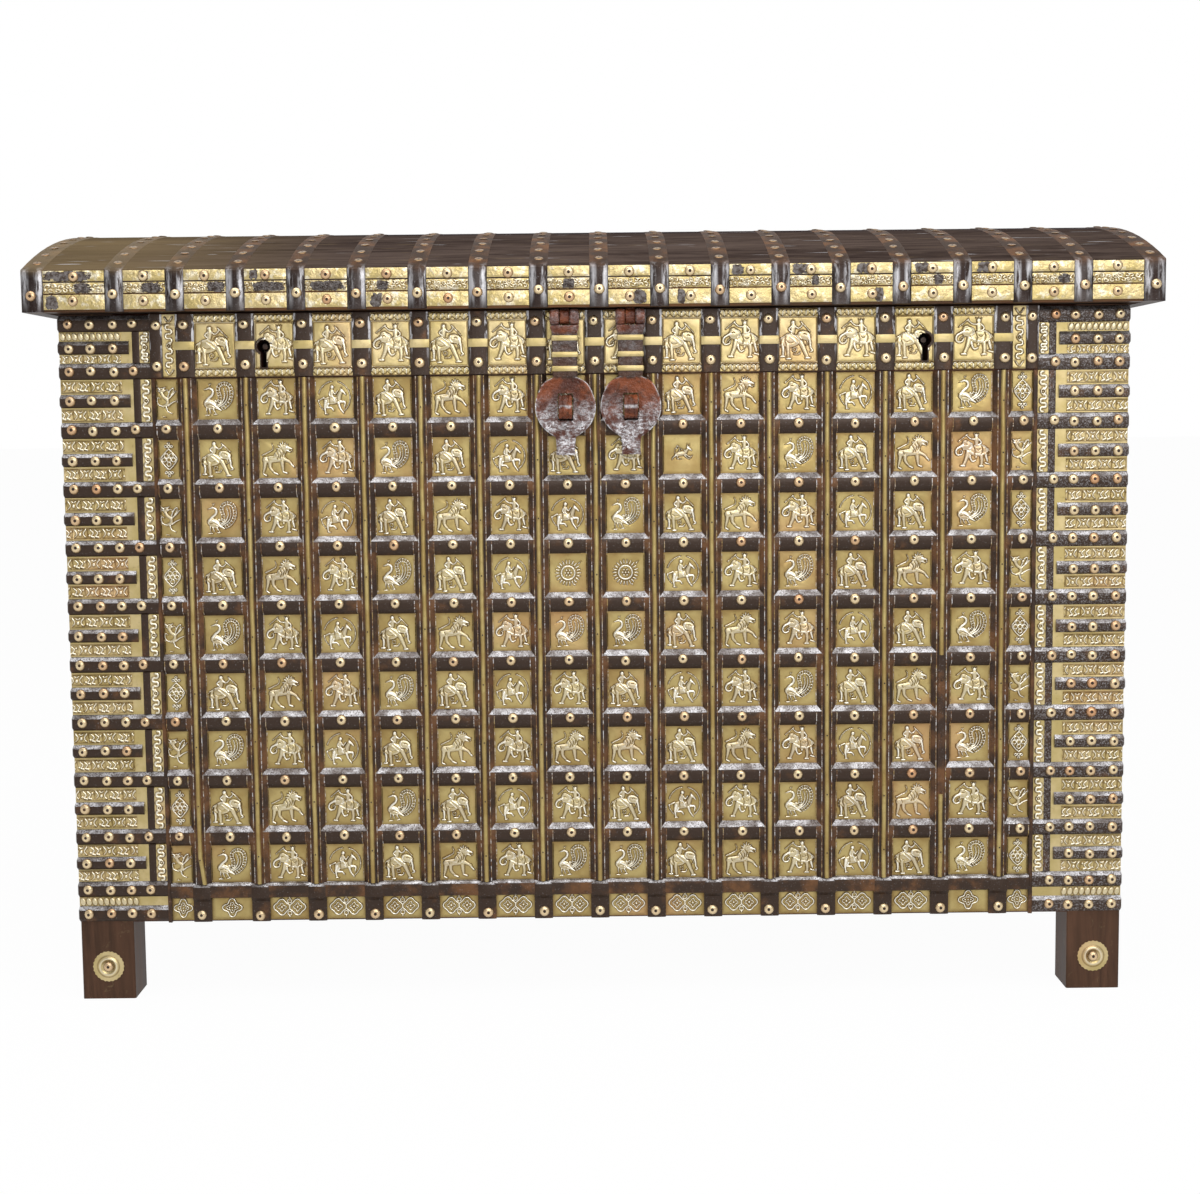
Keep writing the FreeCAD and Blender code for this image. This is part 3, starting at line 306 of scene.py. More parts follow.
def brass_sheet(name, colours, ground, tarnish, dirt_and_shade, polish_and_highlight):
    """Old brass, polished and given a painted highlight on the raised work, dirty and painted in shade around
    it, and softly dented between.
    """
    look = Look(name)
    relief = look.attribute("relief")
    recess = look.attribute("recess")
    cloud = look.noise(24, 3)
    dents = look.noise(70, 2)
    stain = look.noise(170, 4, 0.65)
    colour = look.mix(cloud.within(0.35, 0.7), ground, tarnish)
    colour = look.mix(look.noise(8, 2).within(0.54, 0.75) * 0.4, colour, colours.brass_copper)
    colour = look.mix(stain.within(0.58, 0.8) * 0.3, colour, colours.brass_shade_and_dirt)
    # The raised work is polished and takes a painted highlight, and the ground beside it soiling and painted
    # shade
    colour = look.mix(relief.within(0.3, 1.05) * polish_and_highlight, colour, colours.brass_polish_and_highlight)
    colour = look.mix(recess.within(0.15, 0.95) * (dirt_and_shade + 0.5 * stain), colour, colours.brass_shade_and_dirt)
    return look.finish({
        "Base Color": colour,
        "Metallic": 0.8,
        "Roughness": 0.28 + 0.15 * stain + 0.12 * recess - 0.1 * relief,
        "Normal": look.bump(dents + 0.3 * stain, 0.4, 0.0012),
    })


def smooth_brass(name, colours, ground, pale):
    """Smooth brass strips with scratches and clouds."""
    look = Look(name)
    cloud = look.noise(30, 3)
    stain = look.noise(190, 4, 0.65)
    scratch = look.noise(60, 3, stretch=(1, 1, 14))
    colour = look.mix(cloud.within(0.35, 0.7), ground, pale)
    colour = look.mix(stain.within(0.55, 0.8) * 0.4, colour, colours.brass_shade_and_dirt)
    return look.finish({
        "Base Color": colour,
        "Metallic": 0.8,
        "Roughness": 0.3 + 0.2 * stain + 0.08 * scratch,
        "Normal": look.bump(stain + scratch, 0.3, 0.0005),
    })


def nail_brass(name, colours):
    """Domed nails, pale or coppery, dirty and painted in shade round their edges."""
    look = Look(name)
    stain = look.noise(260, 3, 0.6)
    colour = look.mix(look.attribute("tint"), colours.nail_pale, colours.brass_copper)
    colour = look.mix(look.attribute("dull"), colour, colours.nail_dull)
    colour = look.mix(look.attribute("grime") * (0.4 + 0.7 * stain), colour, colours.brass_shade_and_dirt)
    return look.finish({
        "Base Color": colour,
        "Metallic": 0.8,
        "Roughness": 0.18 + 0.2 * stain,
        "Normal": look.bump(stain, 0.25, 0.0004),
    })


def chipped_brass(name, colours):
    """The lid's thin brass, worn through to dark iron in patches."""
    look = Look(name)
    relief = look.attribute("relief")
    recess = look.attribute("recess")
    along = look.attribute("wear_along")
    across = look.attribute("wear_across")
    cloud = look.noise(30, 3)
    stain = look.noise(200, 4, 0.65)
    rough_edge = look.noise(110, 4, 0.7)
    far = along * along * along * along + across * across * across * across
    chip = 1 - (far + 5 * (rough_edge - 0.5)).within(0.8, 1.1)
    colour = look.mix(cloud.within(0.35, 0.7), colours.brass_ground, colours.brass_band)
    # Polished raised work with a painted highlight, soiling and painted shade beside it, and scattered
    # painted glints
    colour = look.mix(relief.within(0.5, 1.0) * 0.7, colour, colours.brass_polish_and_highlight)
    colour = look.mix(recess.within(0.2, 1.0) * 0.8, colour, colours.brass_shade_and_dirt)
    colour = look.mix(stain.within(0.56, 0.78) * 0.4, colour, colours.brass_tarnish)
    colour = look.mix(look.noise(90, 4, 0.7).within(0.5, 0.68) * 0.5, colour, colours.brass_polish_and_highlight)
    under = look.mix(stain.within(0.36, 0.62), colours.iron_dark, colours.iron_grey)
    return look.finish({
        "Base Color": look.mix(chip, colour, under),
        "Metallic": 0.8 - 0.5 * chip,
        "Roughness": 0.24 + 0.2 * stain + 0.25 * chip,
        "Normal": look.bump(2 * look.noise(55, 3) + stain + rough_edge - 1.5 * chip, 0.6, 0.0014),
    })


def waxed_iron(name, colours, rust, glints=0.0):
    """Waxed dark iron with rust-brown clouds and fine pits, and a share of painted glints toward the right.
    """
    look = Look(name)
    cloud = look.noise(26, 4, 0.6)
    pits = look.noise(480, 3, 0.6)
    colour = look.mix((cloud + rust).within(0.6, 0.85), colours.iron_dark, colours.iron_rust)
    colour = look.mix(pits.within(0.6, 0.8) * 0.25, colour, colours.iron_bare_and_highlight)
    # Painted glints, a painted highlight, toward the right corner
    if glints:
        right = look.axis("X").within(*RIGHT_GLINTS)
        specks = look.noise(520, 4, 0.7, 0.6)
        colour = look.mix(right * specks.within(0.5, 0.62) * glints, colour, colours.iron_bare_and_highlight)
    return look.finish({
        "Base Color": colour,
        "Metallic": 0.35,
        "Specular IOR Level": 0.35,
        "Roughness": 0.22 + 0.25 * pits,
        "Normal": look.bump(pits + cloud, 0.5, 0.0006),
    })


def lid_iron(name, colours):
    """The lid's straps, dark with painted highlights on the shoulders in front, and rusty on the top with a
    painted olive sheen toward the left.
    """
    look = Look(name)
    level = look.axis("Z")
    top = level.within(*LID_TOP)
    cloud = look.noise(30, 4, 0.6)
    pits = look.noise(420, 3, 0.6)
    streaks = look.noise(170, 4, 0.65, stretch=(1, 1, 0.15))
    # A painted highlight on the straps' shoulders in front, toward the top of the lid's front
    gleam = look.attribute("shoulder") * level.within(*LID_GLEAM) * streaks.within(0.4, 0.58)
    front = look.mix(cloud.within(0.35, 0.7) * 0.25, colours.lid_dark, colours.iron_grey)
    front = look.mix(gleam * 0.75, front, colours.iron_bare_and_highlight)
    front = look.mix(pits.within(0.6, 0.8) * 0.25, front, colours.iron_bare_and_highlight)
    # A painted olive sheen on the straps' tops toward the left
    left = 1 - look.axis("X").within(*LEFT_SHEEN)
    rusty = look.mix(cloud.within(0.4, 0.75), colours.iron_dark, colours.iron_rust)
    rusty = look.mix(left * (0.4 + 0.4 * cloud), rusty, colours.lid_worn)
    return look.finish({
        "Base Color": look.mix(top, front, rusty),
        "Metallic": 0.7 - 0.6 * top,
        "Specular IOR Level": 0.08,
        "Roughness": 0.26 + 0.2 * pits + 0.2 * top,
        "Normal": look.bump(pits + 0.8 * cloud, 0.5, 0.0007),
    })


def hasp_iron(name, colours):
    """Hammered red-brown iron, rubbed grey along its edges, and rubbed with painted highlights in glinting
    patches where hands touch it.
    """
    look = Look(name)
    worn = look.attribute("worn")
    handled = look.attribute("handled")
    cloud = look.noise(34, 4, 0.6)
    dents = look.noise(120, 3, 0.6)
    pits = look.noise(420, 3, 0.65)
    specks = look.noise(300, 4, 0.7, 0.8, stretch=(0.6, 1, 1.2))
    patches = look.noise(60, 3, 0.6)
    orange = (1 - handled) * cloud.within(0.38, 0.6) * 0.85
    colour = look.mix(orange, colours.iron_red, colours.iron_orange)
    colour = look.mix(dents.within(0.54, 0.7) * 0.5, colour, colours.iron_dark)
    colour = look.mix(look.attribute("sooty") * 0.85, colour, colours.iron_dark)
    # Rubbed iron along the edges, and painted highlights in glinting patches where hands wear the hasp
    rubbed = worn.within(0.5, 0.95) * dents.within(0.38, 0.55) * 0.7
    glints = 0.16 + 0.75 * specks.within(0.43, 0.58)
    rubbed = rubbed + handled * patches.within(0.36, 0.56) * glints
    colour = look.mix(rubbed, colour, colours.iron_bare_and_highlight)
    colour = look.mix(pits.within(0.62, 0.75) * 0.25, colour, colours.iron_bare_and_highlight)
    return look.finish({
        "Base Color": colour,
        "Metallic": 0.1 + 0.6 * rubbed,
        "Specular IOR Level": 0.35,
        "Roughness": 0.2 + 0.16 * pits,
        "Normal": look.bump(dents + 0.15 * specks, 1.0, 0.005),
    })


def pitted_iron(name, colours):
    """Bare bright iron, finely pitted, that up-facing faces take as a painted highlight."""
    look = Look(name)
    cloud = look.noise(60, 4, 0.6)
    pits = look.noise(640, 3, 0.7)
    colour = look.mix(cloud.within(0.3, 0.65), colours.iron_bare_and_highlight, colours.iron_grey)
    colour = look.mix(pits.within(0.47, 0.62) * 0.9, colour, colours.iron_dark)
    return look.finish({
        "Base Color": colour,
        "Metallic": 0.85,
        "Roughness": 0.34 + 0.2 * pits,
        "Normal": look.bump(pits + cloud, 0.6, 0.0006),
    })


def edge_iron(name, colours):
    """Dark iron at the edges of the frieze's straps, with painted highlights toward the top."""
    look = Look(name)
    streaks = look.noise(190, 4, 0.7, stretch=(1, 1, 0.3))
    # A painted highlight on the upper part of the strap edges
    rubbed = look.axis("Z").within(*FRIEZE_HIGHLIGHT) * streaks.within(0.46, 0.56)
    return look.finish({
        "Base Color": look.mix(rubbed, colours.iron_dark, colours.iron_bare_and_highlight),
        "Metallic": 0.35,
        "Specular IOR Level": 0.35,
        "Roughness": 0.3 + 0.25 * streaks,
        "Normal": look.bump(streaks, 0.5, 0.0006),
    })


def worn_line(name, colours):
    """Thin rubbed edges, brassy in places."""
    look = Look(name)
    cloud = look.noise(70, 3)
    gaps = look.noise(210, 4, 0.75)
    colour = look.mix(cloud.within(0.35, 0.65), colours.brass_tarnish, colours.iron_bare_and_highlight)
    return look.finish({
        "Base Color": look.mix(gaps.within(0.42, 0.56), colour, colours.iron_rust),
        "Metallic": 0.5,
        "Roughness": 0.4 + 0.2 * gaps,
        "Normal": look.bump(gaps, 0.3, 0.0004),
    })


def grained_wood(name, colours, dark, pale, stretch, worn, scuffs=0.0):
    """Old waxed wood with its grain along one axis, and a share of scuffs."""
    look = Look(name)
    broad = look.noise(9, 3, stretch=stretch)
    grain = look.noise(46, 5, 0.65, 0.6, stretch=stretch)
    pores = look.noise(240, 3, 0.6, stretch=stretch)
    colour = look.mix((0.55 * broad + 0.45 * grain).within(0.38, 0.66), dark, pale)
    colour = look.mix(pores.within(0.58, 0.72) * 0.5, colour, dark)
    colour = look.mix(broad.within(0.6, 0.8) * 0.3, colour, worn)
    if scuffs:
        marks = look.noise(70, 4, 0.7, 1.2)
        colour = look.mix(marks.within(0.6, 0.74) * scuffs, colour, worn)
    return look.finish({
        "Base Color": colour,
        "Specular IOR Level": 0.12,
        "Roughness": 0.36 + 0.22 * grain,
        "Normal": look.bump(grain + 0.5 * pores, 0.4, 0.0006),
    })


def lid_wood(name, colours):
    """Brown-black wood of the lid, its outside with a painted blue-black reflection along the crown, scuffed,
    and a painted olive sheen at the left.
    """
    look = Look(name)
    broad = look.noise(12, 3, stretch=ALONG)
    grain = look.noise(110, 5, 0.65, 0.6, stretch=ALONG)
    streaks = look.noise(170, 3, 0.6, stretch=ALONG)
    scratches = look.noise(240, 2, 0.5, 0.3, stretch=(0.05, 0.6, 1))
    across, depth, level = [look.axis(letter) for letter in "XYZ"]
    middle, radius, _ = lid_arch()
    middle = TO_FRAME @ middle
    radius *= MM
    depth = depth - middle.y
    level = level - middle.z
    outside = (depth * depth + level * level).within((radius - 0.009) ** 2, (radius - 0.004) ** 2)
    # A painted olive sheen at the left, and a painted blue-black reflection along the crown
    left = outside * (1 - across.within(-0.66, -0.3)) * (0.1 + 0.9 * broad)
    crown = outside * level.within(radius - 0.02, radius - 0.002) * across.within(-0.5, -0.2)
    colour = look.mix((0.4 * broad + 0.6 * grain).within(0.34, 0.66), colours.lid_dark, colours.lid_pale)
    colour = look.mix(crown * 0.7, colour, colours.lid_crown_reflection)
    colour = look.mix(left, colour, colours.lid_worn)
    colour = look.mix(outside * streaks.within(0.6, 0.72) * 0.3, colour, colours.lid_worn)
    colour = look.mix(outside * scratches.within(0.68, 0.74) * 0.4, colour, colours.iron_bare_and_highlight)
    return look.finish({
        "Base Color": colour,
        "Specular IOR Level": 0.0,
        "Roughness": 0.5 + 0.2 * grain,
        "Normal": look.bump(grain + 0.5 * streaks, 0.5, 0.0008),
    })


# Each finish, with the names of its colours and its shares
FINISHES = {
    "embossed_brass": (brass_sheet, "brass_ground", "brass_tarnish", 0.3, 0.9),
    "band_brass": (brass_sheet, "brass_band", "brass_ground", 0.4, 0.7),
    "plain_brass": (smooth_brass, "brass_ground", "brass_band"),
    "bead_brass": (smooth_brass, "brass_tarnish", "brass_ground"),
    "nail_brass": (nail_brass,),
    "chipped_brass": (chipped_brass,),
    "flat_iron": (waxed_iron, 0.05),
    "speckled_iron": (waxed_iron, 0.05, 0.35),
    "rusty_iron": (waxed_iron, 0.18),
    "lid_iron": (lid_iron,),
    "hasp_iron": (hasp_iron,),
    "pitted_iron": (pitted_iron,),
    "edge_iron": (edge_iron,),
    "worn_line": (worn_line,),
    "leg_wood": (grained_wood, "iron_dark", "leg_brown", UPRIGHT_GRAIN, "lid_worn", 0.6),
    "plank_wood": (grained_wood, "wood_dark", "wood_warm", ALONG, "iron_rust"),
    "end_wood": (grained_wood, "wood_dark", "wood_warm", DEPTHWISE, "iron_rust"),
    "lid_wood": (lid_wood,),
    "lid_end_wood": (grained_wood, "lid_dark", "lid_pale", DEPTHWISE, "lid_worn"),
    "lip_wood": (grained_wood, "iron_dark", "iron_rust", ALONG, "iron_red"),
}


def finished(name):
    """The material of that name, made at its first use."""
    if name not in bpy.data.materials:
        make, *values = FINISHES[name]
        colours = bpy.context.scene.chest_colours
        make(name, colours, *(getattr(colours, item) if isinstance(item, str) else item for item in values))
    return bpy.data.materials[name]


def flowing(points, steps=6):
    """A smooth line through a few points."""
    line = np.array(points, float)
    padded = np.vstack((2 * line[0] - line[1], line, 2 * line[-1] - line[-2]))
    share = np.linspace(0, 1, steps, endpoint=False)[:, None]
    runs = []
    for a, b, c, d in zip(padded, padded[1:], padded[2:], padded[3:]):
        cubic = 3 * b - 3 * c + d - a
        square = 2 * a - 5 * b + 4 * c - d
        runs.append(b + 0.5 * share * (c - a + share * (square + share * cubic)))
    return np.vstack(runs + [line[-1:]])


def hill(value, middle, reach):
    """1 in the middle, falling away smoothly on both sides."""
    return np.exp(-(((value - middle) / reach) ** 2))


def lobed(centre, radius, lobes=1, wave=0.0):
    """A closed line round a centre, a ring where it has no wave, else swelling into lobes."""
    angles = np.linspace(0, FULL_TURN, 49)
    reach = radius * (1 + wave * np.cos(lobes * angles))
    return [(centre[0] + r * math.cos(a), centre[1] + r * math.sin(a)) for r, a in zip(reach, angles)]


class Relief:
    """Raised work on a sheet, from its places across and up in millimetres."""

    # Farther than any sheet reaches
    FAR = 99.0
    # Lines and bosses narrower than these are ridges, and broader ones cushions whose polished brass and
    # painted highlight are brightest round the rim
    RIDGE_WIDTH = 4
    RIDGE_RADIUS = 3
    RIM = 0.84
    RIM_REACH = 0.13
    # A line of so many points is smooth as it is
    SMOOTH = 20
    # How far the soiling and painted shade of an edge reach over the raised work
    OVERLAP = 0.35

    def __init__(self, across, up):
        self.across = across
        self.up = up
        self.height = np.zeros_like(across)
        self.shine = np.zeros_like(across)
        self.gap = np.full_like(across, self.FAR)

    def lift(self, ratio, half, rise, ridge):
        """Raises a rounded shape where the ratio of distance to half width is under 1."""
        dome = np.sqrt(np.clip(1 - ratio**2, 0, 1))
        # The shine along a ridge's top or round a cushion's rim shows as polished brass with a painted
        # highlight
        polish_and_highlight = dome if ridge else 0.62 * dome + 0.38 * hill(ratio, self.RIM, self.RIM_REACH)
        self.height = np.maximum(self.height, rise * (dome if ridge else dome**0.6))
        self.shine = np.where(ratio < 1, rise * polish_and_highlight, self.shine)
        self.gap = np.minimum(self.gap, (ratio - 1) * half)

    def reach(self, line, start, end):
        """Distance from a line over its half width, which changes from start to end."""
        best = np.full_like(self.across, self.FAR)
        count = len(line) - 1
        for i, (a, b) in enumerate(zip(line, line[1:])):
            run = b - a
            share = ((self.across - a[0]) * run[0] + (self.up - a[1]) * run[1]) / max(run @ run, TINY)
            share = np.clip(share, 0, 1)
            away = np.hypot(self.across - a[0] - share * run[0], self.up - a[1] - share * run[1])
            half = (start + (end - start) * (i + share) / count) / 2
            best = np.minimum(best, away / half)
        return best

    def stroke(self, points, width, end=None, rise=1.0):
        """A rounded line through points, a ridge where it is thin and a cushion where it is broad."""
        line = flowing(points) if len(points) < self.SMOOTH else np.array(points, float)
        end = end or width
        mean = (width + end) / 2
        self.lift(self.reach(line, width, end), mean / 2, rise, mean < self.RIDGE_WIDTH)

    def strokes(self, *lines):
        """Rounded lines one over the other, each given by its points, its width and its width at the end."""
        for line in lines:
            self.stroke(*line)

    def oval(self, centre, radii, turn=0.0, rise=1.0):
        """A rounded oval."""
        angle = math.radians(turn)
        x, y = self.across - centre[0], self.up - centre[1]
        along = (x * math.cos(angle) + y * math.sin(angle)) / radii[0]
        beside = (y * math.cos(angle) - x * math.sin(angle)) / radii[1]
        self.lift(np.hypot(along, beside), min(radii), rise, max(radii) < self.RIDGE_RADIUS)

    def dots(self, points, radius, rise=1.0):
        """Small round bosses."""
        for point in points:
            self.oval(point, (radius, radius), 0, rise)

    def fringe(self, points, count, length, width):
        """Short strokes square to a line, on its left side; gives the line of their tips."""
        line = flowing(points, 12)
        tips = []
        for i in np.linspace(1, len(line) - 2, count).astype(int):
            run = line[i + 1] - line[i - 1]
            side = np.array((-run[1], run[0])) / np.hypot(*run)
            tips.append(line[i] + side * length)
            self.stroke([line[i], tips[-1]], width, width * 0.7)
        return tips

    def groove(self, points, width, depth):
        """A line cut into the raised work."""
        cut = np.clip(1 - self.reach(flowing(points), width, width) ** 2, 0, 1)
        self.height = np.maximum(self.height - depth * cut, 0)
        self.shine *= 1 - cut
        self.gap = np.where(cut > 0.3, np.minimum(np.abs(self.gap), 0.4), self.gap)

    def outline(self, reach):
        """How near the raised shapes' edges are, from 0 far outside to 1."""
        outside = np.clip(1 - np.maximum(self.gap, 0) / reach, 0, 1)
        inside = np.clip(1 + np.minimum(self.gap, 0) / self.OVERLAP, 0, 1)
        return np.where(self.gap > 0, outside, inside)


def peacock(work):
    """A peacock facing left with its tail raised in a fan of short feathers."""
    fan = [
        (0.4, -7.4), (4.4, -3.2), (5.2, 3.2), (3.6, 9), (3.4, 13.6), (6.4, 16.6), (10.6, 17), (14.2, 14.6),
        (15.8, 9.4), (15.6, 3.4), (13.4, -2.8), (9.2, -7.4), (4.6, -10.4),
    ]
    work.stroke(work.fringe(fan, 22, 3.9, 1.8), 1.5)
    work.stroke(fan, 1.6)
    work.stroke([(-0.8, -8.6), (6, -4), (9.2, 3.4), (8.8, 9.4), (7.4, 13.4)], 2.6, 1.6)
    work.stroke([(1.4, -10), (9, -4.6), (12.4, 2.4), (12.6, 9), (11.4, 13.4)], 2.4, 1.4)
    work.oval((-9.0, -6.6), (9.0, 6.2), -24)
    work.strokes(
        ([(-4, -8.8), (4.4, -14)], 5.4, 2.2), ([(-15, -4.6), (-10, -3.6), (-3.4, -7.4)], 4.2, 3.0),
        ([(-9.6, 13.4), (-6.3, 11.8), (-5.2, 8.4), (-6.8, 4.4), (-10.8, 1), (-14.2, -3.4)], 3.6, 4.3),
        ([(-10, 13.5), (-16.2, 11.3)], 3.2, 1.2),
    )
    work.dots([(-9.8, 18.2), (-7.8, 18.6), (-8.8, 16.9)], 1.0, 0.8)
    work.dots([(-2.4, -2.2)], 1.8)
    work.strokes(
        ([(-13.4, -10.6), (-12.8, -18.6)], 2.1, 1.5), ([(-15.6, -20.2), (-10.4, -20)], 1.6),
        ([(-10.2, -12), (-8.2, -17.4)], 2.1, 1.5), ([(-5, -12.6), (-2.2, -17.8)], 2.2, 1.5),
        ([(-5.6, -19.2), (-0.6, -18.8)], 1.6),
    )
    work.groove([(-13.6, -7.4), (-8, -6.8), (-2, -10.6)], 0.9, 0.35)


def goad_elephant(work):
    """An elephant facing left with its trunk curled, and a rider who lifts a goad."""
    work.strokes(
        ([(17.0, -3), (18.2, -8.4), (19.4, -12.6)], 4.2, 3.0), ([(16.8, -15.4), (22, -17)], 2.6, 2.2),
        ([(-2.3, -5), (-1.6, -9.4), (1.0, -13.3), (4.8, -11.8)], 3.6, 2.2),
    )
    work.dots([(5.4, -7.8)], 1.8, 0.8)
    work.oval((8.4, 0.8), (12.8, 7.6), 4, 0.9)
    work.strokes(
        ([(11.3, -3), (12.5, -11.6), (11.9, -18.4)], 5.2, 3.6), ([(9.4, -19.4), (14.2, -19.4)], 2.4),
        ([(-4.6, -1), (-6.8, -9.9), (-10.2, -17.8)], 6.0, 4.0), ([(-13.4, -18.8), (-8.4, -19)], 2.6),
    )
    work.oval((-6.6, 7.4), (6.6, 6.4), 10)
    work.oval((-8.4, 12.4), (3.6, 2.4), 20)
    trunk = [
        (-11, 7.4), (-14.6, 5.6), (-18.4, 3.0), (-19.8, -1.4), (-17.2, -4.9), (-12.6, -3.9), (-11.3, -0.6),
    ]
    work.stroke(trunk, 4.0, 2.0)
    work.strokes(
        ([(-10, 2.2), (-14, -0.2), (-14.6, -2)], 1.6, 1.2),
        ([(-4, 12), (0.6, 9), (-0.8, 4.4), (-3.4, 2.8)], 1.8),
        ([(-5.6, 1), (1, -2.6), (9, -4.4), (15, -3.6)], 1.5),
        ([(3, 7), (10, 8.6), (16.6, 5.6), (19.6, -0.4)], 1.6),
        ([(19.4, 3.6), (21.6, -0.4), (21, -6)], 1.4, 1.1), ([(5.8, 16), (6.0, 8.4)], 6.4, 4.8),
    )
    work.dots([(5.7, 20)], 2.8)
    work.strokes(
        ([(3.6, 21.2), (2.8, 23)], 1.2), ([(5.7, 21.4), (5.7, 23.4)], 1.2), ([(7.8, 21.2), (8.6, 23)], 1.2),
        ([(3.4, 15.4), (-1.9, 16.2), (-6.4, 20.4)], 2.4, 2.0),
        ([(-5.6, 21.8), (-11.4, 17), (-16.6, 12.6)], 1.9, 1.6),
        ([(8.6, 15.6), (11.6, 11), (7.8, 7.6)], 2.4),
    )
    work.groove([(2.2, 6), (4, 1), (3, -5)], 0.9, 0.4)
    work.groove([(12.4, 6.6), (13.6, 1), (12, -4)], 0.9, 0.4)
    work.groove([(-9.4, 8.6), (-7.4, 9.6), (-5.8, 8.4)], 0.9, 0.4)
    work.groove([(5.4, 3.4), (8, 1), (10.6, 3.4)], 0.8, 0.3)


def calm_elephant(work):
    """An elephant facing left with its trunk hanging, and a rider with a staff."""
    work.stroke([(18.4, -4), (17.4, -12), (17.8, -18.4)], 4.4, 3.0)
    work.stroke([(15.8, -19.6), (20.4, -19.8)], 2.4)
    work.oval((8.4, -1.2), (11.8, 8.0), -8, 0.9)
    work.strokes(
        ([(12.4, -4), (11.6, -14.2), (11.2, -21)], 5.0, 3.4), ([(8.6, -22.2), (13.2, -22.4)], 2.4),
        ([(-3.6, -3.6), (-7.7, -13), (-10.8, -20)], 6.0, 4.2), ([(-14, -21.4), (-9, -21.6)], 2.6),
    )
    work.stroke(lobed((4.2, -11.8), 2.3), 1.5)
    work.stroke([(4.8, -17), (-0.8, -17), (-2.6, -14.4)], 1.8)
    work.oval((-7.2, 5.0), (8.4, 5.6), 18)
    work.strokes(
        ([(-12.6, 3.2), (-14.2, -4), (-14.7, -9.6), (-17, -12.8), (-14, -14.4)], 4.0, 2.0),
        ([(-10, 0), (-11.4, -4.6), (-9, -6.6)], 1.6, 1.2), ([(20, 1.1), (14, 5.4), (8.2, 7.2)], 1.8),
        ([(7.6, 6.2), (2, 2.4), (-3.2, -1.7)], 1.8), ([(9.6, 3.4), (4.6, -0.6), (0.6, -4.6)], 1.6),
        ([(-2.4, 8.6), (-1, 4.6), (-4, 0.6)], 1.6), ([(19.6, 2.3), (21.6, -2), (20.8, -8.4)], 1.4, 1.1),
        ([(5.6, 16.4), (6.2, 9)], 6.4, 5.2),
    )
    work.dots([(5.9, 20)], 2.9)
    work.strokes(
        ([(3.3, 15.4), (-0.1, 13), (-3.8, 15.4), (-5, 18.6)], 2.4, 2.0),
        ([(-3.4, 20.4), (-8.6, 15), (-13.9, 9.2)], 2.0, 1.7), ([(7.8, 15.5), (10.8, 12), (7.6, 8.6)], 2.4),
    )
    work.groove([(14.6, 5), (15.6, -1), (13.8, -7)], 0.9, 0.4)
    work.groove([(5, -3), (9.4, -4), (13, -2)], 0.8, 0.3)
    work.groove([(-9.6, 5.6), (-7.6, 6.8), (-5.8, 6)], 0.9, 0.4)


def horse_rider(work):
    """A rider on a prancing horse facing right, in a worn ring."""
    edge = lobed((0, 0), 20.6)
    for first, last in ((0, 11), (13, 23), (25, 31), (41, 49)):
        work.stroke(edge[first:last], 1.8)
    work.oval((-3.8, -3.2), (10.4, 5.2))
    work.strokes(
        ([(4.2, -3), (6.6, 3), (9.2, 8.4)], 8.2, 4.4), ([(9.6, 9.2), (12, 7.4), (14.8, 4)], 4.4, 2.2),
        ([(8.8, 10.4), (9, 12.6)], 1.5), ([(7.6, -4.8), (13.8, -5.4), (13, -11.6)], 4.4, 2.2),
        ([(5.4, -6), (7.4, -12.4), (11.8, -19)], 4.2, 2.2),
        ([(-11, -4), (-12.2, -12), (-11.4, -19)], 5.4, 2.3), ([(-12.4, -19.8), (-8.6, -20)], 2.0),
        ([(-8, -7.4), (-9.6, -11.8), (-3.8, -12.2), (-1.2, -15.6)], 3.8, 2.2),
        ([(-13, 0.2), (-17.4, -1.8), (-21, -4)], 2.4, 1.5), ([(-3.4, 8.6), (-3, 2.4)], 5.6, 4.4),
    )
    work.dots([(-2.4, 13.4)], 2.8)
    work.strokes(
        ([(-5.4, 8), (-6.4, 4), (-3.6, 1.6)], 1.9), ([(-1.2, 8.4), (1.2, 4.8), (4.4, 8.6)], 2.0),
        ([(-2.8, 2.4), (-0.4, 0), (1, -5.4)], 2.6, 1.9),
    )
    work.groove([(-6.6, 0.6), (-6, -6)], 0.9, 0.4)
    work.groove([(3.4, 1.6), (5, -4.4)], 0.9, 0.4)


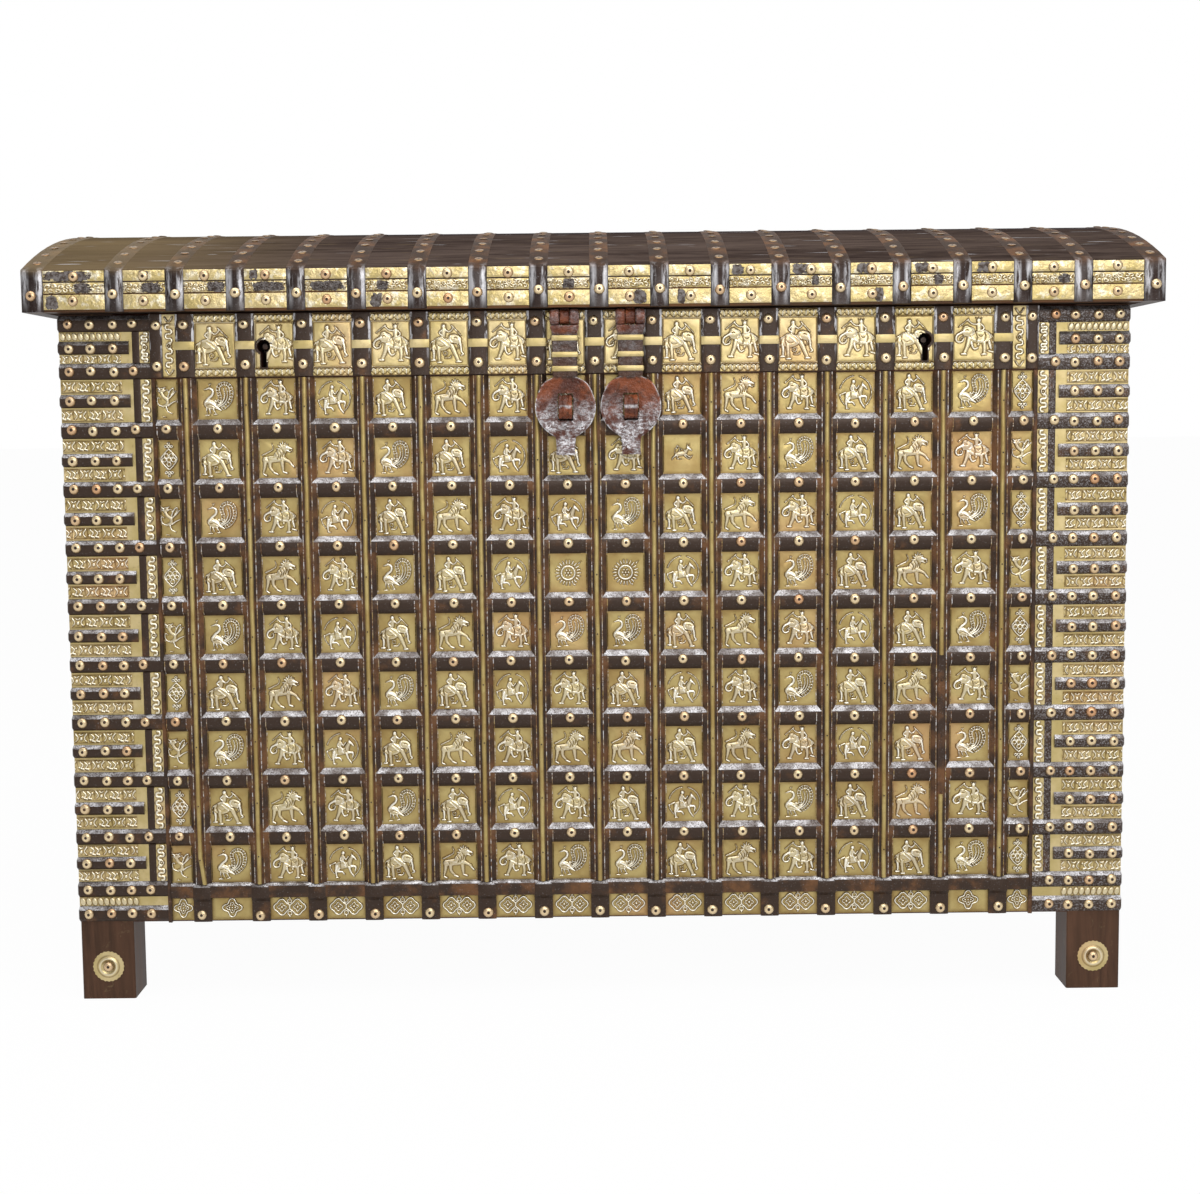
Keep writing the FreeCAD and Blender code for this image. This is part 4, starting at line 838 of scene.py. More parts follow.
def lion(work):
    """A walking lion facing right with its tail over its back."""
    work.strokes(
        ([(-20, 4.2), (-13, 7.6), (-7, 11), (-5.8, 15.4), (-7.4, 19)], 2.1, 1.6),
        ([(-16.4, -2), (-17.4, -11), (-19, -17.6)], 6.2, 3.0), ([(-19, -20), (-15.4, -22)], 2.6),
        ([(5.2, -2), (6, -10.6), (6.6, -16)], 6.2, 3.2), ([(6.8, -17.4), (11.4, -19.2)], 2.7),
        ([(-16.4, -1.8), (-6, -0.8), (5, 1.2)], 8.2, 10.6),
        ([(-10.4, -3.6), (-9.8, -12), (-5.4, -17.6)], 5.8, 3.0), ([(-5.2, -18.4), (-0.4, -20.6)], 2.7),
    )
    for tip in ((-2.0, 12.6), (0.2, 17.2), (3.2, 20.4), (6.8, 21.6), (10.4, 20.6), (13.2, 18.6)):
        work.stroke([(6.6, 12), tip], 4.4, 1.5)
    work.strokes(
        ([(1, 3), (4.6, 8), (8, 13)], 13.0, 10.4), ([(8, -1), (14.2, -4), (17.6, -7)], 5.2, 3.2),
        ([(17.2, -7.4), (20.6, -11)], 2.9),
    )
    work.oval((10.6, 13.4), (5.8, 4.6), -15)
    work.strokes(
        ([(13, 14.4), (18.6, 12.4)], 3.8, 2.4), ([(12, 10.4), (16.6, 8.2)], 2.8, 1.8),
        ([(18.2, 12), (18.8, 9.2)], 1.4),
    )
    work.groove([(1.6, 10), (4.4, 6), (2.4, 0)], 1.0, 0.4)
    work.groove([(5, 12.4), (7.4, 7.4), (6, 2)], 1.0, 0.4)
    work.groove([(-1.6, 8), (1.2, 3.6), (-0.6, -1)], 1.0, 0.4)
    work.groove([(8.4, 8.8), (9.8, 5), (9, 1)], 1.0, 0.4)
    work.groove([(-13, 0.4), (-11.4, -3.4)], 0.9, 0.35)
    work.dots([(11.4, 14.2)], 0.9, 1.1)


def running_animal(work):
    """A small animal running right."""
    work.oval((-2, 0.6), (8.4, 3.2), 10)
    work.strokes(
        ([(4, 2), (7.6, 8)], 4.4, 3.6), ([(7, 9), (12, 5)], 3.8, 2.0), ([(7, 9.6), (6.6, 13)], 1.4),
        ([(9, 9.6), (9.4, 12.6)], 1.4), ([(5, -0.6), (10, -3.6), (13, -2)], 2.0, 1.4),
        ([(3, -1.6), (8, -5.6), (11, -5)], 2.0, 1.4), ([(-8, -1), (-12, -4.4), (-13, -7)], 2.4, 1.4),
        ([(-6, -2), (-6.4, -5.4), (-1.6, -6.4)], 2.2, 1.4), ([(-9.6, 2), (-9.4, 7), (-6.4, 8)], 1.4),
        ([(-4, 4), (-3, 8), (-5, 11)], 1.6),
    )
    work.dots([(-0.6, 6.6), (-6.6, 10.4), (2.6, 5.4)], 1.2)


def rosette(work):
    """A flower in a smooth ring, with a broad ring of rays."""
    rays = 22
    for i in range(rays):
        turn = FULL_TURN * i / rays
        way = np.array((math.cos(turn), math.sin(turn)))
        work.stroke([way * 12.4, way * 16.2], 2.3, 2.0)
    work.stroke(lobed((0, 0), 8.8), 2.9)
    work.dots(lobed((0, 0), 4.0)[:48:8], 1.6)
    work.dots([(0, 0)], 1.6)
    work.dots([(8.6, -15.6), (14.2, 12.4)], 1.5)
    work.stroke([(14.2, 12.4), (17, 15)], 1.6, 1.0)


def rampant_animal(work):
    """An upright animal with lifted paws, on a narrow sheet."""
    work.stroke([(-7.8, 9.4), (-4.2, 3.4), (0.3, -0.6), (-0.6, -6), (-4.6, -8.2)], 4.6, 4.2)
    work.oval((-6.8, 11.4), (4.4, 3.8), 10)
    work.strokes(
        ([(-9, 12.6), (-12.4, 15.2)], 2.4, 1.6), ([(-9.4, 10.6), (-12, 11)], 2.2, 1.4),
        ([(-5, 13.6), (-1.4, 15.4)], 2.4, 1.4), ([(-3.4, 10.6), (0.4, 12), (2.4, 8.6)], 1.8, 1.4),
        ([(0.8, 3), (4.4, 11.2), (8, 14), (8.6, 10.6), (4.8, 4)], 2.2, 1.8),
        ([(1.2, 0.4), (6.5, 4.9), (11.4, 10.2)], 2.4, 1.8),
        ([(1.4, -7.6), (6.4, -4), (12, -1.6)], 2.8, 1.8),
        ([(-5.6, -8.6), (-11, -6), (-12.6, -0.4), (-11.4, 2.4), (-8.8, 1)], 2.2, 1.6),
        ([(-1.2, -9), (0.8, -14.6), (6, -17.4)], 2.8, 1.8), ([(-6, -21), (-2.6, -21.6)], 1.5),
    )
    work.groove([(-8, 12), (-6, 12.8)], 0.9, 0.4)


def narrow_knot(work):
    """Rings in a pointed frame on a narrow sheet, with four rings over and under it."""
    edge = [(0, 13.6), (-4.8, 9), (-9.6, 3), (-10.6, 0), (-8.8, -3.6), (-4, -9.6), (0, -13)]
    work.stroke(edge, 2.1)
    work.stroke([(-x, y) for x, y in edge], 2.1)
    for spot in ((-3.2, 5.0), (3.2, 5.0), (-6.0, -0.4), (0, -0.4), (6.0, -0.4), (0, -6.2)):
        work.stroke(lobed(spot, 2.6), 1.9)
    for way in (-1, 1):
        for spot in ((-3.8, 17.0), (0, 16.8), (3.8, 17.0), (0, 20.6)):
            work.stroke(lobed((spot[0], way * spot[1]), 1.5), 1.7)


def diamond_knot(work):
    """A lobed diamond with a smaller one and five bosses inside it."""
    work.stroke(lobed((0, 0), 10.0, 4, 0.24), 2.0)
    work.stroke(lobed((0, 0), 5.6, 4, 0.3), 1.7)
    work.dots([(0, 0), (3.6, 0), (-3.6, 0), (0, 3.6), (0, -3.6)], 1.3)


def double_knot(work):
    """Two lobed loops side by side with rings inside them."""
    for side in (-1, 1):
        centre = (side * 10.4, 0)
        work.stroke(lobed(centre, 9.6, 4, 0.12), 2.2)
        work.stroke(lobed(centre, 4.6, 4, 0.25), 1.7)
        work.dots([centre], 1.7)
    work.stroke(lobed((0, 8.4), 2.7), 1.8)
    work.stroke(lobed((0, -8.4), 2.7), 1.8)
    work.dots([(0, 12.8), (0, -12.8), (0, 0)], 1.2)


def leaf_row(work, level, half, count):
    """A row of split leaves between thin lines."""
    step = 2 * half / count
    lobe = [(-0.47, 0.4), (-0.4, 2.6), (-0.2, 3.2), (-0.06, 1.4), (0, -3.6)]
    for i in range(count):
        middle = -half + step * (i + 0.5)
        for side in (-1, 1):
            work.oval((middle + side * step * 0.2, level), (step * 0.25, 3.6), -side * 22, 0.7)
            work.stroke([(middle + side * share * step, level + up) for share, up in lobe], 1.7)
    for edge in (-5.6, 5.6):
        work.stroke([(-half, level + edge), (half, level + edge)], 1.3, rise=0.8)


def frieze_plate(figure):
    """A motif of a larger figure between two rows of leaves."""
    larger = 1.1

    def draw(work):
        inner = Relief(work.across / larger, work.up / larger)
        figure(inner)
        work.height = inner.height
        work.shine = inner.shine
        work.gap = inner.gap
        leaf_row(work, 34.6, 25, 5)
        leaf_row(work, -34.6, 25, 5)
        for side in (-24.4, 24.4):
            work.stroke([(side, -29), (side, 29)], 1.3, rise=0.7)

    return draw


def end_scroll(work):
    """A narrow upright band of scrolls with a leaf at each end."""
    winding_stem(work, 27.0, 4.0)
    for level in (33.5, -33.5):
        work.stroke([(-5, level + 3), (0, level - 3), (5, level + 3)], 2.2)
        work.stroke([(-7.5, level - 6), (7.5, level - 6)], 1.1, rise=0.5)


def winding_stem(work, half, swing):
    """A thick stem that winds up a band in full loops, with a ring in its middle."""
    count = max(2, round(half / 14))
    turns = np.linspace(0, count * FULL_TURN, count * 16 + 1)
    for way in (-1, 1):
        levels = 4 + (half - 4) * turns / turns[-1] - 1.1 * np.sin(2 * turns)
        work.stroke(list(zip(swing * np.sin(turns), way * levels)), 3.2)
    work.stroke(lobed((0, 0), 3.0), 2.0)
    work.dots([(0, 0)], 1.2)


def upright_wave(height):
    """A motif of a winding stem up a band of a given height."""

    def draw(work):
        winding_stem(work, height / 2 - 1, 3.9)

    return draw


# Half the length of a corner band's lines, and the length of one of its tiles
BAND_REACH = 39
TILE = 18.6


def oval_band(work):
    """A row of leaning ovals between thin lines."""
    for i in range(10):
        work.oval((-35 + 7.8 * i, 0), (3.4, 5.4), -14)
    border_lines(work)


def filigree(seed):
    """A motif of a corner band of small tiles, bossed and scrolled in turn, shifted by a seed."""

    def draw(work):
        start = -BAND_REACH - np.random.default_rng(seed).uniform(0, TILE)
        for i in range(6):
            middle = start + TILE * (i + 0.5)
            tile = bossed_tile if (i + seed) % 2 else scrolled_tile
            tile(work, middle)
            work.stroke([(middle + TILE / 2, -6), (middle + TILE / 2, 6)], 1.0, rise=0.5)
        border_lines(work)

    return draw


def bossed_tile(work, middle):
    """A boss between two bent leaves, with a leaf over it."""
    work.oval((middle, -1.2), (2.2, 2.8))
    work.stroke([(middle - 2.6, 4.9), (middle, 3.4), (middle + 2.6, 4.9)], 2.0)
    bend = [(7.2, 4.9), (4.8, 1.8), (4.4, -1.6), (7.2, -4.9)]
    for way in (-1, 1):
        work.stroke([(middle + way * out, up) for out, up in bend], 2.5, 1.8)


def scrolled_tile(work, middle):
    """Two leaning scrolls with a boss on each side."""
    bend = [(-2.6, -4.9), (1.4, -3.6), (-1.4, 0.6), (2.6, 4.9)]
    for shift in (-2.9, 2.9):
        work.stroke([(middle + shift + out, up) for out, up in bend], 2.5, 2.0)
    work.dots([(middle - 6.6, 2.6), (middle + 6.6, -2.6)], 1.7)


def border_lines(work):
    """Thin lines along both edges of a corner band."""
    for level in (-6.6, 6.6):
        work.stroke([(-BAND_REACH, level), (BAND_REACH, level)], 1.0, rise=0.5)


def lid_scroll(work):
    """Two rows of small open curls along a lid band, each turned its own way."""
    rng = np.random.default_rng(5)
    out = np.linspace(0.4, 1, 20) * 2.7
    for row in (-1, 1):
        for i in range(9):
            turns = rng.uniform(0, FULL_TURN) + np.linspace(0, rng.uniform(1.3, 1.9) * math.pi, 20)
            middle = np.array((-24 + 6 * i + 1.5 * row, 2.6 * row)) + rng.normal(0, 0.5, 2)
            work.stroke([middle + r * np.array((math.cos(a), math.sin(a))) for r, a in zip(out, turns)], 1.7)


def plain_sheet(work):
    """A sheet with no raised work."""


# Worn patches on the lid's bands: the bay from the left and the band from below, with the middle and the
# half length of the patch as shares of half a bay
LID_WEAR = {
    (0, 2): (-0.2, 0.75), (0, 1): (0.3, 0.28), (0, 0): (-0.72, 0.2), (1, 1): (0.36, 0.5),
    (1, 2): (0.0, 0.22), (2, 1): (0.55, 0.4), (3, 1): (0.1, 0.75), (3, 2): (-0.55, 0.2), (4, 1): (0.0, 0.8),
    (5, 1): (-0.2, 0.28), (5, 0): (-0.5, 0.32), (8, 1): (0.0, 0.28), (9, 0): (0.5, 0.3),
    (10, 0): (-0.4, 0.2), (11, 2): (-0.6, 0.28), (12, 2): (-0.5, 0.4), (12, 1): (0.2, 0.16),
    (13, 2): (-0.3, 0.4), (13, 0): (0.35, 0.2), (14, 2): (-0.5, 0.32), (14, 1): (0.3, 0.22),
    (15, 2): (-0.4, 0.4), (16, 1): (0.5, 0.28),
}

# The squares' pieces, with their motifs and the way that each faces
MOTIFS = {
    "P": ("peacock_squares", peacock, 1),
    "E": ("calm_elephant_squares", calm_elephant, -1),
    "e": ("goad_elephant_squares", goad_elephant, 1),
    "H": ("rider_squares", horse_rider, 1),
    "L": ("lion_squares", lion, 1),
    "R": ("rosette_squares", rosette, 1),
    "A": ("running_animal_square", running_animal, 1),
}


def extent(node):
    """A frame node's lowest and highest corners in millimetres."""
    low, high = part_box(node)
    return FROM_FRAME @ low, FROM_FRAME @ high


def islands(bm):
    """The connected shells of a mesh, each as a list of its points, in the order of their first points."""
    found = set()
    shells = []
    for start in bm.verts:
        if start in found:
            continue
        found.add(start)
        shell = [start]
        for vert in shell:
            for link in vert.link_edges:
                other = link.other_vert(vert)
                if other not in found:
                    found.add(other)
                    shell.append(other)
        shells.append(shell)
    return shells


def frame_shells(node):
    """The points of each solid in a frame node, in millimetres."""
    bm = bmesh.new()
    bm.from_mesh(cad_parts[node].data)
    bmesh.ops.transform(bm, matrix=FROM_FRAME, verts=bm.verts)
    bmesh.ops.remove_doubles(bm, verts=bm.verts, dist=MM)
    shells = [np.array([vert.co for vert in shell]) for shell in islands(bm)]
    bm.free()
    return shells


def frame_boxes(node):
    """The lowest and highest corners of each solid in a frame node, from the top left on."""
    corners = [(shell.min(0).round(2), shell.max(0).round(2)) for shell in frame_shells(node)]
    return sorted(corners, key=lambda box: (-box[1][2], box[0][0]))


def nail_places(node):
    """The top of each nail's head in a frame node and the way that it faces."""
    places = []
    for shell in frame_shells(node):
        gaps = np.linalg.norm(shell[:, None] - shell[None], axis=2)
        first, second = np.unravel_index(gaps.argmax(), gaps.shape)
        if np.median(gaps[first]) > np.median(gaps[second]):
            first, second = second, first
        top = Vector(shell[first])
        places.append((top, (top - Vector(shell[second])).normalized()))
    return places


def template(bm):
    """Turns a bmesh into a mesh that can be stamped in many places."""
    mesh = bpy.data.meshes.new("template")
    bm.to_mesh(mesh)
    bm.free()
    return mesh


def thinned(mesh, share):
    """A mesh with fewer faces where it is flat."""
    holder = bpy.data.objects.new("thinning", mesh)
    bpy.context.scene.collection.objects.link(holder)
    holder.modifiers.new("thinning", "DECIMATE").ratio = share
    evaluated = holder.evaluated_get(bpy.context.evaluated_depsgraph_get())
    result = bpy.data.meshes.new_from_object(evaluated)
    bpy.data.objects.remove(holder)
    bpy.data.meshes.remove(mesh)
    return result


def drawn(points, draw, side, shift=0.0):
    """The raised work of a motif at some points of a sheet, or a little above them."""
    work = Relief(points[:, 0] * side, points[:, 1] + shift)
    draw(work)
    return work


def mesh_points(mesh):
    """A mesh's points as rows of numbers."""
    points = np.empty(len(mesh.vertices) * 3, np.float32)
    mesh.vertices.foreach_get("co", points)
    return points.reshape(-1, 3).astype(float)


def only(kind, geometry):
    """The points, edges or faces among what an operator gives back."""
    return [item for item in geometry if isinstance(item, kind)]


def add_skirt(bm):
    """Adds walls from a sheet's rim down to its back, always in the same order."""
    rim = [edge.link_loops[0] for edge in bm.edges if edge.is_boundary]
    feet = {loop.vert: bm.verts.new((*loop.vert.co.xy, 0)) for loop in rim}
    for loop in rim:
        pair = (loop.link_loop_next.vert, loop.vert)
        bm.faces.new((*pair, feet[pair[1]], feet[pair[0]]))


def embossed_sheet(
    width, height, draw, rise, side=1, dirt_and_shade=1.2, bulge=0.0, spacing=0.8, keep=0.42, tarnish=0.0
):
    """A template sheet that faces the front, centred on its back, dirty and painted in shade beside its
    raised work.
    """
    bm = bmesh.new()
    steps = [max(2, round(size / spacing)) for size in (width, height)]
    bmesh.ops.create_grid(bm, x_segments=steps[0], y_segments=steps[1], size=0.5)
    bmesh.ops.scale(bm, vec=(width, height, 1), verts=bm.verts)
    points = np.array([vert.co for vert in bm.verts])
    swell = (1 - (2 * points[:, 0] / width) ** 6) * (1 - (2 * points[:, 1] / height) ** 4)
    work = drawn(points, draw, side)
    levels = SHEET + rise * work.height + bulge * swell - DENT * work.outline(DENT_REACH)
    for vert, level in zip(bm.verts, levels):
        vert.co.z = level
    add_skirt(bm)
    mesh = thinned(template(bm), keep)
    points = mesh_points(mesh)
    work = drawn(points, draw, side)
    # The raised work a little above each point gives the painted shadow that hangs under it
    above = drawn(points, draw, side, SHADOW_DROP)
    recess = np.maximum(work.outline(dirt_and_shade), SHADOW_DROP_SHARE * above.outline(dirt_and_shade) * (work.gap > 0))
    # The ground is also darker toward the sheet's edges
    inward = np.minimum(width / 2 - np.abs(points[:, 0]), height / 2 - np.abs(points[:, 1]))
    recess = np.maximum(recess, tarnish * np.clip(1 - inward / EDGE_DARK_REACH, 0, 1) * (work.gap > 0))
    for name, values in (("relief", work.shine), ("recess", recess)):
        mesh.attributes.new(name, "FLOAT", "POINT").data.foreach_set("value", values.astype(np.float32))
    mesh.transform(FACING_FRONT)
    return mesh


def stamp(bm, mesh, matrix):
    """Adds a copy of a template at a place, turned right side out where the place mirrors it."""
    copy = mesh.copy()
    copy.transform(matrix)
    if matrix.is_negative:
        copy.flip_normals()
    bm.from_mesh(copy)
    bpy.data.meshes.remove(copy)


def back_middle(low, high):
    """The middle of the back of a frame box."""
    return Vector(((low[0] + high[0]) / 2, high[1], (low[2] + high[2]) / 2))


def stamp_in_box(bm, mesh, low, high, size):
    """Adds a sheet of a given size in a frame box, scaled a little to fill it."""
    scale = Matrix.Diagonal(((high[0] - low[0]) / size[0], 1, (high[2] - low[2]) / size[1], 1))
    stamp(bm, mesh, Matrix.Translation(back_middle(low, high)) @ scale)


def axes(origin, across, outward):
    """A place whose first axis runs across and whose second points outward."""
    onward = across.cross(outward)
    matrix = Matrix((across, outward, onward)).transposed().to_4x4()
    matrix.translation = origin
    return matrix


def facing_front(points):
    """Places at some points that face the front."""
    return [axes(Vector(point), RIGHTWARD, FORWARD) for point in points]


def ring(bm, points):
    """Adds a closed line through points, and gives its edges."""
    verts = [bm.verts.new(point) for point in points]
    return [bm.edges.new(pair) for pair in zip(verts, verts[1:] + verts[:1])]


def sweep(bm, outline, places):
    """Draws an outline, given across and outward, along places, and gives the closed shape's faces."""
    rows = [[bm.verts.new(place @ Vector((a, b, 0))) for a, b in outline] for place in places]
    faces = []
    for before, after in zip(rows, rows[1:]):
        for this in range(len(outline)):
            faces.append(bm.faces.new((before[this], before[this - 1], after[this - 1], after[this])))
    faces += [bm.faces.new(rows[0]), bm.faces.new(rows[-1])]
    bmesh.ops.recalc_face_normals(bm, faces=faces)
    return faces


def piece(name, bm, body, nodes, finishes, crease=PLAIN_CREASE):
    """Puts a finished bmesh into the frame as a piece that stands for some nodes."""
    bmesh.ops.transform(bm, matrix=TO_FRAME, verts=bm.verts)
    mesh = bpy.data.meshes.new(name)
    bm.to_mesh(mesh)
    bm.free()
    mesh.shade_smooth()
    mesh.set_sharp_from_angle(angle=math.radians(crease))
    for finish in finishes:
        mesh.materials.append(finished(finish))
    obj = bpy.data.objects.new(name, mesh)
    bpy.context.scene.collection.objects.link(obj)
    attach(obj, body)
    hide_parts(*nodes)
    return obj


def dress(finish, *nodes):
    """Gives frame nodes a finish."""
    for node in nodes:
        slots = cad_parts[node].data.materials
        slots.clear()
        slots.append(finished(finish))


def chosen(name):
    """A size that a user may change, in millimetres."""
    return getattr(bpy.context.scene.chest_sizes, name) / MM


class CHEST_OT_carcass(Operator):
    """Gives the posts, planks and floor their wood"""

    bl_idname = "chest.carcass"
    bl_label = "Carcass wood"

    def execute(self, context):
        dress("leg_wood", "post_front_left", "post_front_right", "post_back_left", "post_back_right")
        dress("plank_wood", "front_plank_lower", "front_plank_middle", "front_plank_upper", "back_planks")
        dress("plank_wood", "floor_planks", "frieze_board")
        dress("end_wood", "left_end_planks", "right_end_planks", "floor_bearers")
        return {"FINISHED"}


class CHEST_OT_hardware(Operator):
    """Gives the locks, hinges and pins their metal"""

    bl_idname = "chest.hardware"
    bl_label = "Locks and hinges"

    def execute(self, context):
        dress("flat_iron", "lock_cases", "lock_bolt_left", "lock_bolt_right", "lock_springs")
        dress("flat_iron", "lock_drill_pins", "lock_keepers")
        dress("flat_iron", "hinge_body_leaves", "hinge_lid_leaves", "hinge_pins", "hasp_pins")
        return {"FINISHED"}


def turned(bm, profile, middle):
    """Adds a closed profile, given along and out from an axis across the chest, turned round that axis."""
    fresh = bmesh.new()
    edges = ring(fresh, [(along, 0, out) for along, out in profile])
    bmesh.ops.spin(
        fresh, geom=fresh.verts[:] + edges, cent=(0, 0, 0), axis=RIGHTWARD, angle=FULL_TURN, steps=24,
        use_merge=True,
    )
    bmesh.ops.recalc_face_normals(fresh, faces=fresh.faces)
    stamp(bm, template(fresh), Matrix.Translation(middle))


def turned_up(spot, turn):
    """A place at a spot that faces the front, turned up by some degrees."""
    return axes(spot, RIGHTWARD, Matrix.Rotation(math.radians(-turn), 3, "X") @ FORWARD)


class CHEST_OT_hasps(Operator):
    """Makes the two hasps with their bands, and the eyes and staples that hold them"""

    bl_idname = "chest.hasps"
    bl_label = "Hasps"

    # Half the barrel's profile, along and out from its pin
    BARREL = [(6.8, 4.3), (6.8, 9.4), (8.2, 10.8), (12, 11), (16.4, 10.6), (18.6, 8.8), (19, 6), (19, 4.3)]
    # How far the disc lies in front of the pin, how high over its middle the rubbed iron with its painted
    # highlights and the disc end, and how far under the pin the soot ends
    DISC_OUT = 3
    RUB_AND_HIGHLIGHT_REACH = 36
    DISC_TOP = 39
    SOOT_END = 20
    # Half width and height of the slot in the disc, and the disc's thickness
    SLOT = (10, 17.5)
    DISC_THICK = 4

    def execute(self, context):
        pins, staples = extent("hasp_pins"), extent("hasp_staples")
        axis = Vector((0, (pins[0].y + pins[1].y) / 2, (pins[0].z + pins[1].z) / 2))
        level = (staples[0].z + staples[1].z) / 2
        for node in ("hasp_left", "hasp_right"):
            low, high = extent(node)
            bm = bmesh.new()
            worn = bm.verts.layers.float.new("worn")
            handled = bm.verts.layers.float.new("handled")
            sooty = bm.verts.layers.float.new("sooty")
            self.disc(bm, worn, (high.x - low.x) / 2, Vector((0, axis.y - self.DISC_OUT, level)))
            for side in (-1, 1):
                turned(bm, [(side * along, out) for along, out in self.BARREL], axis)
            self.strap(bm, axis)
            self.tail(bm, axis, low.z)
            for vert in bm.verts:
                above = vert.co.z - level
                # The disc's lower part takes rubbed iron with painted highlights, and the iron over the disc
                # a little of them
                rub_and_highlight = min(1, max(0, 0.5 - above / self.RUB_AND_HIGHLIGHT_REACH))
                vert[handled] = rub_and_highlight if above < self.DISC_TOP else 0.25
                vert[sooty] = 1 if self.RUB_AND_HIGHLIGHT_REACH < above < axis.z - level - self.SOOT_END else 0
            middle = (low.x + high.x) / 2
            bmesh.ops.translate(bm, vec=(middle, 0, 0), verts=bm.verts)
            piece(node + "_forged", bm, node, [node], ["hasp_iron"], FORGED_CREASE)
            self.bands(node, middle, axis)
        self.eyes(axis)
        self.loops(level, staples[1].y)
        return {"FINISHED"}

    def disc(self, bm, worn, radius, middle):
        """A dished disc with a slot, drawn out into the strap above and the tail below."""
        inner = radius / 4
        for reach in (radius, inner):
            bmesh.ops.create_circle(bm, segments=64, radius=reach, matrix=FACING_FRONT)
        bmesh.ops.bridge_loops(bm, edges=bm.edges)
        spokes = [edge for edge in bm.edges if not edge.is_boundary]
        bmesh.ops.subdivide_edges(bm, edges=spokes, cuts=8, use_grid_fill=True)
        for vert in bm.verts:
            reach = vert.co.length
            share = (reach - inner) / (radius - inner)
            across, up = vert.co.x / reach, vert.co.z / reach
            lean = math.degrees(math.asin(min(1, abs(across))))
            shoulder = 2.4 * hill(lean, 40, 17) if up > 0 else 0
            outline = radius + 4 * hill(lean, 0, 20) + shoulder
            hole = min(self.SLOT[0] / max(abs(across), TINY), self.SLOT[1] / max(abs(up), TINY))
            fresh = hole + (outline - hole) * share
            rim = 1.5 if share > 0.99 else 0.0
            hollow = 4.2 * (1 - share**2) - 0.7 * hill(share, 0.9, 0.07)
            vert.co = Vector((across * fresh, hollow + rim, up * fresh))
            vert[worn] = max(0.0, share - 0.86) / 0.14
        back = bmesh.ops.extrude_face_region(bm, geom=bm.faces[:])["geom"]
        bmesh.ops.translate(bm, vec=(0, self.DISC_THICK, 0), verts=only(BMVert, back))
        bmesh.ops.recalc_face_normals(bm, faces=bm.faces)
        bmesh.ops.translate(bm, vec=middle, verts=bm.verts)

    def strap(self, bm, axis):
        """The strap from the barrel down to the disc, thick under the barrel."""
        outline = [(-16, -5), (-16, -1.4), (-14.6, 0), (0, 0.5), (14.6, 0), (16, -1.4), (16, -5)]
        run = [(10.3, 7.6, 1.16), (14, 7.2, 1.14), (18, 5.0, 1.04), (22, 3.4, 1), (27, 2.6, 1), (75, 2.5, 1)]
        places = [
            axes(axis + Vector((0, -out, -drop)), RIGHTWARD, FORWARD) @ Matrix.Diagonal((wide, 1, 1, 1))
            for drop, out, wide in run
        ]
        sweep(bm, outline, places)

    def tail(self, bm, axis, base):
        """The tail under the disc, with its end bent out."""
        outline = [(-12, -4.6), (-12, -1), (-10.6, 0), (0, 0.8), (10.6, 0), (12, -1), (12, -4.6)]
        run = [
            (30, 2.0, 0, 1.12), (18, 2.2, 0, 1.06), (11, 2.4, 10, 1), (6, 4.0, 34, 0.98), (3.2, 7.6, 62, 1),
            (2.4, 11, 76, 1.02),
        ]
        places = [
            turned_up(Vector((0, axis.y - out, base + rise)), turn) @ Matrix.Diagonal((wide, 1, 1, 1))
            for rise, out, turn, wide in run
        ]
        sweep(bm, outline, places)

    def bands(self, node, middle, axis):
        """Domed brass bands bent round the strap."""
        outline = [(-3.5, -0.8), (-3.2, 0.7), (-1.7, 1.5), (1.7, 1.5), (3.2, 0.7), (3.5, -0.8)]
        half, front, back = 16, axis.y - 2.7, axis.y + 2
        leftward, rightward = (FORWARD - RIGHTWARD).normalized(), (FORWARD + RIGHTWARD).normalized()
        run = [
            (-half, back, -RIGHTWARD), (-half, front + 1.4, -RIGHTWARD), (-half + 0.4, front + 0.4, leftward),
            (-half + 1.4, front, FORWARD), (0, front - 0.5, FORWARD), (half - 1.4, front, FORWARD),
            (half - 0.4, front + 0.4, rightward), (half, front + 1.4, RIGHTWARD), (half, back, RIGHTWARD),
        ]
        bm = bmesh.new()
        for low, high in frame_boxes(node + "_bands"):
            level = (low[2] + high[2]) / 2
            sweep(bm, outline, [axes(Vector((middle + x, y, level)), UPWARD, way) for x, y, way in run])
        piece(node + "_brass_bands", bm, node, [node + "_bands"], ["plain_brass"])

    def eyes(self, axis):
        """The ridged eyes that hang from the lid, with their tangs."""
        profile = [(-6, 4.2), (-6, 9), (-5, 10), (-3.6, 9.2), (0, 9.5), (3.6, 9.2), (5, 10), (6, 9), (6, 4.2)]
        tang = [(-6, -2), (-6, 1.4), (-5, 2), (5, 2), (6, 1.4), (6, -2)]
        bm = bmesh.new()
        for low, high in frame_boxes("hasp_eyes"):
            middle = (low[0] + high[0]) / 2
            turned(bm, profile, Vector((middle, axis.y, axis.z)))
            sweep(bm, tang, facing_front((middle, high[1] - 2, z) for z in (high[2], axis.z)))
        piece("hasp_eyes_ridged", bm, "lid", ["hasp_eyes"], ["hasp_iron"], FORGED_CREASE)

